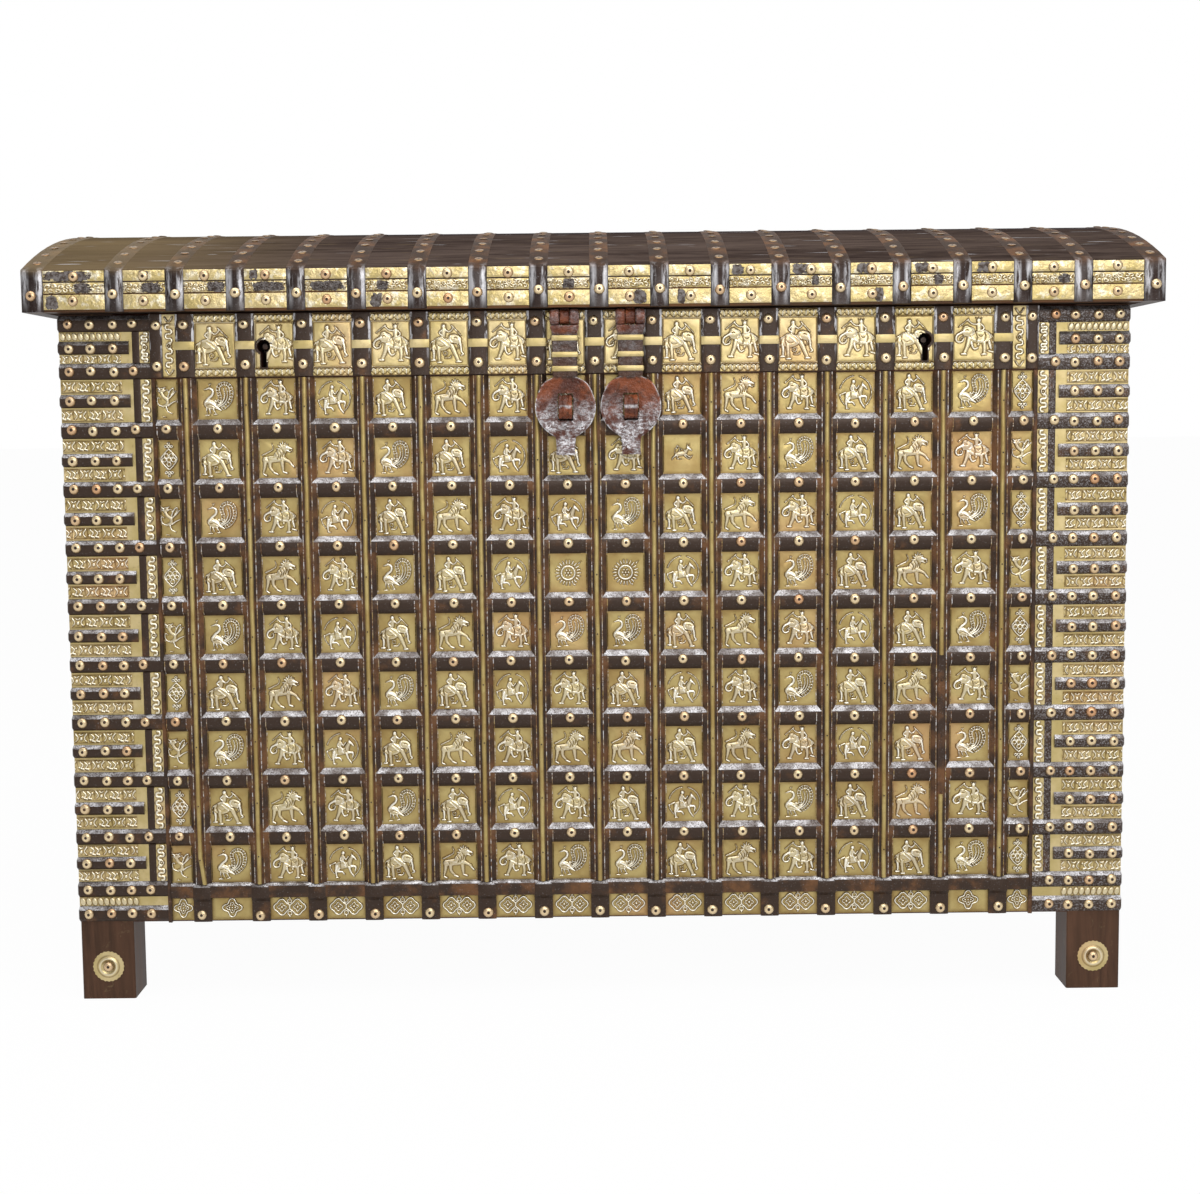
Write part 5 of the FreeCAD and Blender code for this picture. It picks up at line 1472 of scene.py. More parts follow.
    def loops(self, level, inside):
        """The ridged staples that stand through the discs, clenched inside the planks."""
        outline = [
            (-8.5, -2), (-8.5, 1.2), (-7.2, 2), (-5, 1.8), (-4, 1), (-3, 1.8), (3, 1.8), (4, 1), (5, 1.8),
            (7.2, 2), (8.5, 1.2), (8.5, -2),
        ]
        boxes = frame_boxes("hasp_staples")
        low, high = boxes[0]
        radius = 13.5
        nose = low[1] + 15.5
        clench = inside - 2
        end = (high[2] - low[2]) / 2
        run = [(end, clench, 0), (radius + 1, clench, 0), (radius, clench - 1, 90)]
        run += [
            (radius * math.cos(math.radians(turn)), nose - radius * math.sin(math.radians(turn)), 90 - turn)
            for turn in range(0, 181, 15)
        ]
        run += [(-radius, clench - 1, -90), (-radius - 1, clench, 0), (-end, clench, 0)]
        bm = bmesh.new()
        for low, high in boxes:
            middle = (low[0] + high[0]) / 2
            sweep(bm, outline, [turned_up(Vector((middle, y, level + rise)), turn) for rise, y, turn in run])
        # The staples' middle takes rubbed bright iron with a painted highlight
        worn = bm.verts.layers.float.new("worn")
        for vert in bm.verts:
            vert[worn] = hill(vert.co.z, level, 4.2)
        piece("hasp_staples_ridged", bm, "chest", ["hasp_staples"], ["hasp_iron"], FORGED_CREASE)


# Spacing of the points and reach of the soiling and painted shade on the squares, finer for the figures with
# the finest lines
SQUARE_WORK = (0.65, 1.0)
FINE_WORK = {"P": (0.55, 0.25), "R": (0.6, 0.4), "H": (0.65, 0.7)}


class CHEST_OT_squares(Operator):
    """Makes the embossed brass squares, one piece for each figure"""

    bl_idname = "chest.squares"
    bl_label = "Brass squares"

    def execute(self, context):
        rise = chosen("square_relief")
        boxes = frame_boxes("brass_squares")
        letters = "".join(SQUARE_ROWS)
        for letter, (name, draw, side) in MOTIFS.items():
            spacing, dirt_and_shade = FINE_WORK.get(letter, SQUARE_WORK)
            sheet = embossed_sheet(*SQUARE, draw, rise, side, dirt_and_shade, spacing=spacing, tarnish=0.8)
            bm = bmesh.new()
            for place, (low, high) in zip(letters, boxes):
                if place == letter:
                    stamp_in_box(bm, sheet, low, high, SQUARE)
            piece(name, bm, "chest", ["brass_squares"], ["embossed_brass"], EMBOSSED_CREASE)
        return {"FINISHED"}


class CHEST_OT_narrow_squares(Operator):
    """Makes the narrow sheets of the half columns"""

    bl_idname = "chest.narrow_squares"
    bl_label = "Narrow squares"

    def execute(self, context):
        rise = chosen("square_relief")
        sheets = [
            embossed_sheet(*NARROW_SQUARE, draw, rise, dirt_and_shade=0.5, spacing=0.55, keep=0.55, tarnish=0.8)
            for draw in (rampant_animal, narrow_knot)
        ]
        bm = bmesh.new()
        node = "brass_narrow_squares"
        for i, (low, high) in enumerate(frame_boxes(node)):
            row, column = divmod(i, 2)
            stamp_in_box(bm, sheets[(row + column) % 2], low, high, NARROW_SQUARE)
        piece("narrow_squares", bm, "chest", [node], ["embossed_brass"], EMBOSSED_CREASE)
        return {"FINISHED"}


def slice_all(bm, point, normal, clear=False):
    """Cuts the whole mesh along a plane, and takes away what lies in front of it where asked."""
    geometry = bm.verts[:] + bm.edges[:] + bm.faces[:]
    bmesh.ops.bisect_plane(bm, geom=geometry, plane_co=point, plane_no=normal, clear_outer=clear)


def field_windows(lap):
    """The edges of the columns and rows in which the squares show, with the iron lapped over them."""
    boxes = frame_boxes("brass_squares") + frame_boxes("brass_narrow_squares")
    columns = sorted({(low[0] + lap, high[0] - lap) for low, high in boxes})
    rows = sorted({(low[2] + lap, high[2] - lap) for low, high in boxes})
    return columns, rows


def among(value, spans):
    """Whether a value lies inside one of some spans."""
    return any(low < value < high for low, high in spans)


class CHEST_OT_lattice(Operator):
    """Makes the iron bars as one lattice of sunken coffers with softened edges"""

    bl_idname = "chest.lattice"
    bl_label = "Iron lattice"

    # The least angle, in radians, of an edge that is softened
    SHARP = 0.3

    def execute(self, context):
        bevel, rise = chosen("coffer_bevel"), chosen("bar_rise")
        columns, rows = field_windows(chosen("window_lap"))
        left, right = (corner.x for corner in extent("cross_bars"))
        base, top = (corner.z for corner in extent("brass_squares"))
        bm = bmesh.new()
        bmesh.ops.create_grid(bm, x_segments=1, y_segments=1, size=0.5)
        bmesh.ops.scale(bm, vec=(right - left + 2 * bevel, top - base + 2 * bevel, 1), verts=bm.verts)
        middle = Matrix.Translation(((left + right) / 2, -rise, (base + top) / 2))
        bmesh.ops.transform(bm, matrix=middle @ FACING_FRONT, verts=bm.verts)
        for low, high in columns:
            slice_all(bm, (low - bevel, 0, 0), RIGHTWARD)
            slice_all(bm, (high + bevel, 0, 0), RIGHTWARD)
        for low, high in rows:
            slice_all(bm, (0, 0, low - bevel), UPWARD)
            slice_all(bm, (0, 0, high + bevel), UPWARD)
        windows = []
        for face in bm.faces:
            spot = face.calc_center_median()
            if among(spot.x, columns) and among(spot.z, rows):
                windows.append(face)
        bmesh.ops.inset_individual(bm, faces=windows, thickness=bevel, depth=-rise, use_even_offset=True)
        bmesh.ops.delete(bm, geom=windows, context="FACES")
        for edge in [edge for column in columns for edge in column]:
            slice_all(bm, (edge, 0, 0), RIGHTWARD)
        slice_all(bm, (left, 0, 0), -RIGHTWARD, True)
        slice_all(bm, (right, 0, 0), RIGHTWARD, True)
        slice_all(bm, (0, 0, base), -UPWARD, True)
        slice_all(bm, (0, 0, top), UPWARD, True)
        # Up-facing faces take bright pitted iron as a painted highlight, and the uprights' sides rusty iron
        for face in bm.faces:
            beside = not among(face.calc_center_median().x, columns)
            face.material_index = 1 if face.normal.z > UPTURNED else 2 * beside
        sharp = [edge for edge in bm.edges if not edge.is_boundary and edge.calc_face_angle(0) > self.SHARP]
        bmesh.ops.bevel(
            bm, geom=sharp, offset=chosen("worn_edge"), offset_type="OFFSET", segments=1,
            profile=0.5, affect="EDGES", material=-1,
        )
        finishes = ["flat_iron", "pitted_iron", "rusty_iron"]
        piece("iron_lattice", bm, "chest", ["cross_bars"], finishes, COFFER_CREASE)
        return {"FINISHED"}


class CHEST_OT_uprights(Operator):
    """Makes the raised strips along the uprights and the strips at the field's edges"""

    bl_idname = "chest.uprights"
    bl_label = "Upright strips"

    def execute(self, context):
        rise = chosen("bar_rise")
        beads = frame_boxes("upright_beads")
        proud = -beads[0][1][1]
        outline = [(-4.7, rise - 0.5), (-4.2, proud), (4.2, proud), (4.7, rise - 0.5)]
        bm = bmesh.new()
        for low, high in beads:
            middle = (low[0] + high[0]) / 2
            sweep(bm, outline, facing_front((middle, 0, z) for z in (low[2], high[2])))
        low, high = extent("uprights")
        field = field_windows(0)[0][-1][1]
        half = (high.x - field) / 2
        outline = [(-half, 0), (-half, 5), (half - 1, 6), (half, 5), (half, 0)]
        for side in (-1, 1):
            sweep(bm, outline, facing_front((side * (field + half), 0, z) for z in (low.z, high.z)))
        piece("upright_strips", bm, "chest", ["uprights"], ["rusty_iron"])
        return {"FINISHED"}


class CHEST_OT_lines(Operator):
    """Makes the thin worn lines along both edges of each column and each upright"""

    bl_idname = "chest.lines"
    bl_label = "Edge lines"

    # How far the lines lie from an upright's middle and how high they stand, the length of their steps beside
    # the squares, and their run over a bar
    EDGE_OUT = 6.4
    LIFT = 0.5
    STEP = 1.5
    BAR = 10

    def execute(self, context):
        bevel, rise = chosen("coffer_bevel"), chosen("bar_rise")
        columns, rows = field_windows(chosen("window_lap"))
        lift = self.LIFT
        run = []
        for low, high in rows:
            run += [(low, lift), (low + self.STEP, 2 * lift), (high - self.STEP, 2 * lift), (high, lift)]
            run += [(high + bevel, rise + lift), (high + bevel + self.BAR, rise + lift)]
        line = [(-0.6, -1.2), (-0.45, 0), (0.45, 0), (0.6, -1.2)]
        bm = bmesh.new()
        for edge in [edge for column in columns for edge in column]:
            sweep(bm, line, facing_front((edge, -out, z) for z, out in run[:-2]))
        for low, high in frame_boxes("upright_beads"):
            for side in (-self.EDGE_OUT, self.EDGE_OUT):
                edge = (low[0] + high[0]) / 2 + side
                sweep(bm, line, facing_front((edge, -rise - lift, z) for z in (low[2], high[2])))
        piece("edge_lines", bm, "chest", ["uprights"], ["worn_line"])
        return {"FINISHED"}


class CHEST_OT_beads(Operator):
    """Makes the half-round brass beads and the dark tacks that hold them"""

    bl_idname = "chest.beads"
    bl_label = "Brass beads"

    # The leftmost bead is bent out at its foot, and one at the right has lost its length between two places
    BENT_LEFT_OF = -500
    BENT_OUT = 5
    BROKEN_BETWEEN = (440, 460)
    LOST = (4, 8)
    TACK_RADIUS = 1.2

    def execute(self, context):
        radius = chosen("bead_radius")
        rng = np.random.default_rng(7)
        turns = np.linspace(0, math.pi, 7)
        outline = [(radius * math.cos(turn), radius * math.sin(turn)) for turn in turns]
        bm = bmesh.new()
        tacks = bmesh.new()
        for low, high in frame_boxes("upright_beads"):
            middle = (low[0] + high[0]) / 2
            levels = np.linspace(low[2], high[2], 19)
            sway = rng.normal(0, 0.25, len(levels))
            if middle < self.BENT_LEFT_OF:
                sway[0] += self.BENT_OUT
            places = facing_front((middle + shift, high[1], level) for shift, level in zip(sway, levels))
            if among(middle, [self.BROKEN_BETWEEN]):
                sweep(bm, outline, places[:self.LOST[0]])
                places = places[self.LOST[1]:]
            sweep(bm, outline, places)
            for level in levels[1::2]:
                spot = Matrix.Translation((middle, low[1], level + rng.normal(0, 3)))
                bmesh.ops.create_icosphere(tacks, subdivisions=1, radius=self.TACK_RADIUS, matrix=spot)
        piece("brass_beads", bm, "chest", ["upright_beads"], ["bead_brass"])
        piece("bead_tacks", tacks, "chest", ["upright_beads"], ["flat_iron"], EMBOSSED_CREASE)
        return {"FINISHED"}


# Shares of a nail's radius: where the soiling and painted shade toward the rim begin, and the dark pin
GRIME_AND_SHADE_START = 0.6
NAIL_PIN = 0.2


def nail_template():
    """A dome-headed nail with a dark pin in its middle, its top at the origin, facing up."""
    radius, rise = chosen("nail_radius"), chosen("nail_rise")
    profile = [(1.0, 0.0), (0.95, 0.42), (0.7, 0.84), (0.3, 1.0)]
    dip = (0, 0, -0.5)
    bm = bmesh.new()
    verts = [bm.verts.new((a * radius, 0, (b - 1) * rise)) for a, b in profile]
    edges = [bm.edges.new(pair) for pair in zip(verts, verts[1:])]
    bmesh.ops.spin(
        bm, geom=verts + edges, cent=(0, 0, 0), axis=UPWARD, angle=FULL_TURN, steps=12, use_merge=True
    )
    bmesh.ops.remove_doubles(bm, verts=bm.verts, dist=TOUCH)
    rim = [edge for edge in bm.edges if edge.is_boundary and edge.verts[0].co.z > -TOUCH]
    inner = only(BMVert, bmesh.ops.extrude_edge_only(bm, edges=rim)["geom"])
    bmesh.ops.translate(bm, vec=dip, verts=inner)
    bmesh.ops.pointmerge(bm, verts=inner, merge_co=dip)
    bmesh.ops.recalc_face_normals(bm, faces=bm.faces)
    grime = bm.verts.layers.float.new("grime")
    for vert in bm.verts:
        # Soiling and painted shade grow toward the head's rim
        vert[grime] = max(0.0, vert.co.xy.length / radius - GRIME_AND_SHADE_START) / (1 - GRIME_AND_SHADE_START)
    for face in bm.faces:
        face.material_index = 1 if face.calc_center_median().xy.length < NAIL_PIN * radius else 0
    return template(bm)


# Rise of the lid's straps on its front, its share on the top, and the corner straps' share on the ends
STRAP_RISE = 3.5
TOP_STRAP_SHARE = 0.18
END_STRAP_SHARE = 0.16


class CHEST_OT_nails(Operator):
    """Puts a dome-headed brass nail on every nail of the frame, flatter ones on the lid's top"""

    bl_idname = "chest.nails"
    bl_label = "Nails"

    # The lid's top: share of a nail's height and width there, and how dull it is
    FLAT = 0.25
    SMALL = 0.82
    DULL = 0.8
    # A nail faces an end where it looks sideways by more than this
    ENDWAYS = 0.5

    def execute(self, context):
        rise = chosen("nail_rise")
        end = right_end()
        rng = np.random.default_rng(3)
        nail = nail_template()
        for node in ("front_nails", "corner_nails", "lid_nails", "rosette_nails"):
            bm = bmesh.new()
            tint = bm.verts.layers.float.new("tint")
            dull = bm.verts.layers.float.new("dull")
            for top, facing in nail_places(node):
                turn = facing.to_track_quat("Z", "Y").to_matrix().to_4x4()
                on_top = facing.z > UPTURNED
                widths = rng.normal(self.SMALL if on_top else 1, 0.03, 2)
                shape = Matrix.Diagonal((*widths, self.FLAT if on_top else 1, 1))
                sunk = 0.0
                if on_top:
                    sunk = rise * (1 - self.FLAT) + STRAP_RISE * (1 - TOP_STRAP_SHARE)
                elif abs(facing.x) > self.ENDWAYS:
                    sunk = (1 - END_STRAP_SHARE) * (abs(top.x) - end - rise)
                count = len(bm.verts)
                stamp(bm, nail, Matrix.Translation(top - facing * sunk) @ turn @ shape)
                bm.verts.ensure_lookup_table()
                copper = float(np.clip(rng.normal(0.0, 0.4), 0, 0.9))
                for vert in bm.verts[count:]:
                    vert[tint] = copper
                    vert[dull] = self.DULL if on_top else 0.0
            body = "lid" if node == "lid_nails" else "chest"
            piece(node + "_domed", bm, body, [node], ["nail_brass", "flat_iron"], EMBOSSED_CREASE)
        return {"FINISHED"}


# How square the shoulders of the domed strips are
DOME_POWER = 2.6


def domed_strip(low, high, thick, dome):
    """A template strip as wide and high as a frame box, centred on its back, with rounded long edges."""
    width, height = high[0] - low[0], high[2] - low[2]
    outline = [(-width / 2, 0)]
    for share in np.linspace(-1, 1, 9):
        round_off = math.sqrt(max(0, 1 - abs(share) ** DOME_POWER))
        outline.append((share * width / 2, thick - dome + dome * round_off))
    outline.append((width / 2, 0))
    bm = bmesh.new()
    sweep(bm, outline, facing_front((0, 0, level) for level in np.linspace(-height / 2, height / 2, 5)))
    return template(bm)


def left_to_right(node):
    """The boxes of a frame node, from the left on."""
    return sorted(frame_boxes(node), key=lambda box: box[0][0])


# The keyholes: radius of the ring and of the hole, half width and drop of the slot, width of its rim, and how
# far the sheet is cut back from them
KEYHOLE_RING = 11.5
KEYHOLE = 8.5
KEY_SLOT = 3.75
KEY_DROP = 27.0
SLOT_RIM = 1.3
KEY_SPARE = 0.4


def cut_keyhole(bm, spot):
    """Opens a keyhole in the frieze sheets, round above and straight below."""
    doomed = []
    for face in bm.faces:
        away = face.calc_center_median() - spot
        in_slot = abs(away.x) < KEY_SLOT + KEY_SPARE and -KEY_DROP - KEY_SPARE < away.z < 0
        if in_slot or math.hypot(away.x, away.z) < KEYHOLE + KEY_SPARE:
            doomed.append(face)
    bmesh.ops.delete(bm, geom=doomed, context="FACES")


def keyhole_outline(radius, half, drop):
    """A keyhole's edge, across and up from the middle of its round part."""
    start = math.asin(half / radius)
    turns = np.linspace(start - math.pi / 2, 1.5 * math.pi - start, 33)
    return [(radius * math.cos(a), radius * math.sin(a)) for a in turns] + [(-half, -drop), (half, -drop)]


def keyhole_ring(bm, spot, depth):
    """A raised rim round a keyhole, with walls back into the wood."""
    loops = []
    for radius, half, drop in (
        (KEYHOLE_RING, KEY_SLOT + SLOT_RIM, KEY_DROP + SLOT_RIM), (KEYHOLE, KEY_SLOT, KEY_DROP)
    ):
        edge = keyhole_outline(radius, half, drop)
        loops += ring(bm, [(spot.x + a, spot.y, spot.z + b) for a, b in edge])
    faces = bmesh.ops.bridge_loops(bm, edges=loops)["faces"]
    walls = bmesh.ops.extrude_edge_only(bm, edges=loops)["geom"]
    bmesh.ops.translate(bm, vec=(0, depth, 0), verts=only(BMVert, walls))
    bmesh.ops.recalc_face_normals(bm, faces=faces + only(BMFace, walls))


class CHEST_OT_frieze(Operator):
    """Makes the elephant plates, the straps between them and the links across the straps"""

    bl_idname = "chest.frieze"
    bl_label = "Frieze"

    # Plates narrower than this are the end ones
    NARROW = 20
    # Thickness of the straps, rise of their domes, and half length of the links
    STRAP_THICK = 4.0
    STRAP_DOME = 1.6
    LINK_REACH = 12.4

    def execute(self, context):
        self.plates(chosen("square_relief"))
        self.straps()
        self.links()
        return {"FINISHED"}

    def plates(self, rise):
        """Elephants by turns to the right and left, scrolls at the ends, and two keyholes."""
        figures = ((frieze_plate(calm_elephant), -1), (frieze_plate(goad_elephant), 1))
        plates = [embossed_sheet(*FRIEZE_PLATE, draw, rise, side, spacing=0.65) for draw, side in figures]
        holed = [embossed_sheet(*FRIEZE_PLATE, draw, rise, side, keep=1.0) for draw, side in figures]
        narrow = embossed_sheet(*FRIEZE_END, end_scroll, rise)
        rings = frame_boxes("keyhole_rings")
        bm = bmesh.new()
        ends = bmesh.new()
        for i, (low, high) in enumerate(left_to_right("frieze_plates")):
            if high[0] - low[0] < self.NARROW:
                stamp_in_box(ends, narrow, low, high, FRIEZE_END)
            else:
                sheets = holed if any(low[0] < ring_low[0] < high[0] for ring_low, _ in rings) else plates
                stamp_in_box(bm, sheets[(i + 1) % 2], low, high, FRIEZE_PLATE)
        keyholes = bmesh.new()
        for low, high in rings:
            spot = Vector(((low[0] + high[0]) / 2, low[1], high[2] - KEYHOLE_RING))
            cut_keyhole(bm, spot)
            keyhole_ring(keyholes, spot, high[1] - low[1])
        plate_nodes = ["frieze_plates"]
        piece("frieze_elephants", bm, "chest", plate_nodes, ["band_brass"], EMBOSSED_CREASE)
        piece("frieze_end_scrolls", ends, "chest", plate_nodes, ["band_brass"], EMBOSSED_CREASE)
        piece("keyhole_rims", keyholes, "chest", ["keyhole_rings"], ["flat_iron"])

    def straps(self):
        """Domed straps whose edges take painted highlights toward the top."""
        bm = bmesh.new()
        for low, high in frame_boxes("frieze_straps"):
            strap = domed_strip(low, high, self.STRAP_THICK, self.STRAP_DOME)
            stamp(bm, strap, Matrix.Translation(back_middle(low, high)))
        bm.normal_update()
        for face in bm.faces:
            # The strap edges take edge iron with its painted highlights
            face.material_index = 1 if abs(face.normal.x) > SIDEWAYS else 0
        piece("frieze_straps_domed", bm, "chest", ["frieze_straps"], ["flat_iron", "edge_iron"])

    def links(self):
        """Short brass bands bent over the straps."""
        outline = [(-5.5, -2), (-5.2, 0.9), (-4, 1.2), (4, 1.2), (5.2, 0.9), (5.5, -2)]
        bm = bmesh.new()
        for low, high in frame_boxes("frieze_links"):
            level = (low[2] + high[2]) / 2
            places = []
            for share in np.linspace(-1, 1, 9):
                round_off = math.sqrt(1 - 0.94 * abs(share) ** DOME_POWER)
                out = self.STRAP_DOME * round_off - self.STRAP_DOME
                spot = Vector(((low[0] + high[0]) / 2 + share * self.LINK_REACH, high[1] - out, level))
                places.append(axes(spot, -UPWARD, FORWARD))
            sweep(bm, outline, places)
        piece("frieze_links_curved", bm, "chest", ["frieze_links"], ["plain_brass"])


class CHEST_OT_bottom(Operator):
    """Makes the knotted plates, the straps and the rail along the bottom"""

    bl_idname = "chest.bottom"
    bl_label = "Bottom border"

    # Plates narrower than this are the half ones
    NARROW = 40
    # How far the rail laps over the plates under it
    RAIL_LAP = 3.6

    def execute(self, context):
        self.plates(chosen("band_relief"))
        self.irons()
        return {"FINISHED"}

    def plates(self, rise):
        """Double knots between single ones, and half plates at the ends."""
        double, single, narrow = (
            embossed_sheet(*size, draw, rise, spacing=0.6, tarnish=0.9)
            for size, draw in (
                (BOTTOM_PLATE, double_knot), (BOTTOM_PLATE, diamond_knot), (NARROW_BOTTOM_PLATE, diamond_knot)
            )
        )
        boxes = left_to_right("bottom_plates")
        bm = bmesh.new()
        for i, (low, high) in enumerate(boxes):
            if high[0] - low[0] < self.NARROW:
                stamp_in_box(bm, narrow, low, high, NARROW_BOTTOM_PLATE)
            else:
                stamp_in_box(bm, single if i in (1, len(boxes) - 2) else double, low, high, BOTTOM_PLATE)
        piece("bottom_knots", bm, "chest", ["bottom_plates"], ["embossed_brass"], EMBOSSED_CREASE)

    def irons(self):
        """The rail, and the straps that come down over it."""
        low, high = extent("bottom_rail")
        middle = (low.z + high.z) / 2
        reach = (high.z - low.z) / 2
        lap = reach + self.RAIL_LAP
        rail = [
            (-reach, 0), (-reach, 5.4), (-6.6, 7.6), (-5.6, 8), (lap - 3, 8), (lap - 2, 7.6), (lap, 2),
            (lap, 0),
        ]
        ends = [axes(Vector((x, 0, middle)), -UPWARD, FORWARD) for x in np.linspace(low.x, high.x, 31)]
        bm = bmesh.new()
        # The rail's up-facing faces take bright pitted iron as a painted highlight
        for face in sweep(bm, rail, ends):
            face.material_index = 1 if face.normal.z > UPTURNED else 2
        for low, high in frame_boxes("bottom_straps"):
            half = (high[0] - low[0]) / 2
            shoulder = 0.8 * half
            outline = [
                (-half, 0), (-half, 2.8), (-shoulder, 3.7), (0, 4), (shoulder, 3.7), (half, 2.8), (half, 0),
            ]
            foot = middle - lap
            run = [(low[2], 0), (foot - 4, 0), (foot + 1, 5), (middle + 4, 5), (middle + 7, 3.6)]
            side = (low[0] + high[0]) / 2
            # The straps' up-facing faces take bright pitted iron as a painted highlight
            for face in sweep(bm, outline, facing_front((side, -out, z) for z, out in run)):
                face.material_index = 1 if face.normal.z > UPTURNED else 0
        nodes = ["bottom_straps", "bottom_rail"]
        piece("bottom_irons", bm, "chest", nodes, ["flat_iron", "pitted_iron", "rusty_iron"])


def corner_run(start, corner, back):
    """Places along the front from start to the right corner, round it, and back along the end."""
    places = [axes(Vector((x, 0, 0)), UPWARD, FORWARD) for x in np.linspace(start, corner, 6)]
    for share in np.linspace(0, 1, 5)[1:]:
        turn = Matrix.Rotation(share * math.pi / 2, 3, "Z")
        thin = Matrix.Diagonal((1, 1 - (1 - END_STRAP_SHARE) * share, 1, 1))
        places.append(axes(Vector((corner, 0, 0)), UPWARD, turn @ FORWARD) @ thin)
    at_end = Matrix.Diagonal((1, END_STRAP_SHARE, 1, 1))
    for depth in np.linspace(0, back, 4)[1:]:
        places.append(axes(Vector((corner, depth, 0)), UPWARD, RIGHTWARD) @ at_end)
    return places


def right_end():
    """Where the chest's right end lies."""
    return extent("post_front_right")[1].x


def right_boxes(node):
    """The boxes of a frame node at the right corner."""
    return [box for box in frame_boxes(node) if box[0][0] > 0]


def stamp_both(bm, mesh, place):
    """Adds a copy of a template at a place on the right and one mirrored on the left."""
    for side in BOTH_SIDES:
        stamp(bm, mesh, side @ place)


class CHEST_OT_corners(Operator):
    """Makes the straps, sheets and embossed bands at both front corners"""

    bl_idname = "chest.corners"
    bl_label = "Corner work"

    # Length of the lying bands, width of the upright ones, gaps over and under a band, and gap at its end
    LENGTH = 79.0
    UPRIGHT = 14.5
    GAPS = 1.5
    END_GAP = 0.5
    # Thickness of the flat strips and rise of their domes
    STRIP_THICK = 1.6
    STRIP_DOME = 0.8

    def execute(self, context):
        self.straps("corner_long_straps", 21.0, 4.0)
        self.straps("corner_short_straps", 18.0, 5.0)
        self.sheets()
        self.bands(chosen("band_relief"))
        self.strips()
        return {"FINISHED"}

    def straps(self, node, height, proud):
        """Bevelled straps that turn the corner."""
        boxes = right_boxes(node)
        low, high = boxes[0]
        half = height / 2
        outline = [
            (-half, 0), (-half, 0.6), (-half + 3.6, proud - 0.3), (-half + 4.4, proud),
            (half - 5.6, proud), (half - 4.8, proud - 0.3), (half, 0.6), (half, 0),
        ]
        bm = bmesh.new()
        # The straps' up-facing faces take bright pitted iron as a painted highlight
        for face in sweep(bm, outline, corner_run(low[0], right_end(), high[1])):
            face.material_index = 1 if face.normal.z > UPTURNED else 0
        bmesh.ops.remove_doubles(bm, verts=bm.verts, dist=TOUCH)
        strap = template(bm)
        bm = bmesh.new()
        for side in BOTH_SIDES:
            for low, high in boxes:
                stamp(bm, strap, side @ Matrix.Translation((0, 0, (low[2] + high[2]) / 2)))
        piece(node + "_bevelled", bm, "chest", [node], ["speckled_iron", "pitted_iron"])

    def sheets(self):
        """The brass under the bands, which turns the corner with them."""
        bm = bmesh.new()
        for low, high in right_boxes("corner_sheets"):
            half = (high[2] - low[2]) / 2
            lifts = Matrix.Translation((0, 0, (low[2] + high[2]) / 2))
            places = [lifts @ place for place in corner_run(low[0], right_end(), high[1])]
            sweep(bm, [(-half, 0), (-half, SHEET), (half, SHEET), (half, 0)], places)
        bmesh.ops.remove_doubles(bm, verts=bm.verts, dist=TOUCH)
        right = template(bm)
        bm = bmesh.new()
        stamp_both(bm, right, Matrix.Identity(4))
        piece("corner_brass", bm, "chest", ["corner_sheets"], ["plain_brass"])

    def bands(self, rise):
        """Embossed bands over and under each short strap, and upright ones beside the field."""
        longs, shorts = (
            sorted(right_boxes(node), key=lambda box: box[0][2])
            for node in ("corner_long_straps", "corner_short_straps")
        )
        across = right_end() - self.LENGTH / 2 - self.END_GAP
        beside = longs[0][0][0] + self.UPRIGHT / 2 + self.END_GAP
        draws = [filigree(seed) for seed in range(2 * len(shorts) - 1)] + [oval_band]
        bm = bmesh.new()
        for i, (strap_low, strap_high) in enumerate(shorts):
            base = max(box[1][2] for box in longs if box[1][2] < strap_low[2])
            top = min(box[0][2] for box in longs if box[0][2] > strap_high[2])
            for j, (low, high) in enumerate(((base, strap_low[2]), (strap_high[2], top))):
                size = (self.LENGTH, high - low - self.GAPS)
                sheet = embossed_sheet(*size, draws[2 * i + j], rise, dirt_and_shade=0.9, spacing=0.7, keep=0.5)
                stamp_both(bm, sheet, Matrix.Translation((across, -SHEET, (low + high) / 2)))
            height = top - base - self.GAPS
            sheet = embossed_sheet(self.UPRIGHT, height, upright_wave(height), rise, dirt_and_shade=1.6)
            stamp_both(bm, sheet, Matrix.Translation((beside, -SHEET, (base + top) / 2)))
        base, top = longs[0][1][2], longs[1][0][2]
        sheet = embossed_sheet(self.LENGTH, top - base - 2 * self.END_GAP, oval_band, rise, dirt_and_shade=1.6)
        stamp_both(bm, sheet, Matrix.Translation((across, -SHEET, (base + top) / 2)))
        piece("corner_bands", bm, "chest", ["corner_sheets"], ["band_brass"], EMBOSSED_CREASE)

    def strips(self):
        """Flat iron strips between the brass of the corners."""
        bm = bmesh.new()
        for low, high in frame_boxes("corner_iron_strips"):
            strip = domed_strip(low, high, self.STRIP_THICK, self.STRIP_DOME)
            stamp(bm, strip, Matrix.Translation(back_middle(low, high)))
        piece("corner_strips", bm, "chest", ["corner_iron_strips"], ["speckled_iron"])


def lid_arch():
    """The middle and the radius of the lid's outer arc, and half the angle that it spans."""
    low, high = extent("lid_planks")
    half = (high.y - low.y) / 2
    rise = high.z - extent("lid_front_brass")[1].z
    radius = (half**2 + rise**2) / (2 * rise)
    return Vector((0, (low.y + high.y) / 2, high.z - radius)), radius, math.asin(half / radius)


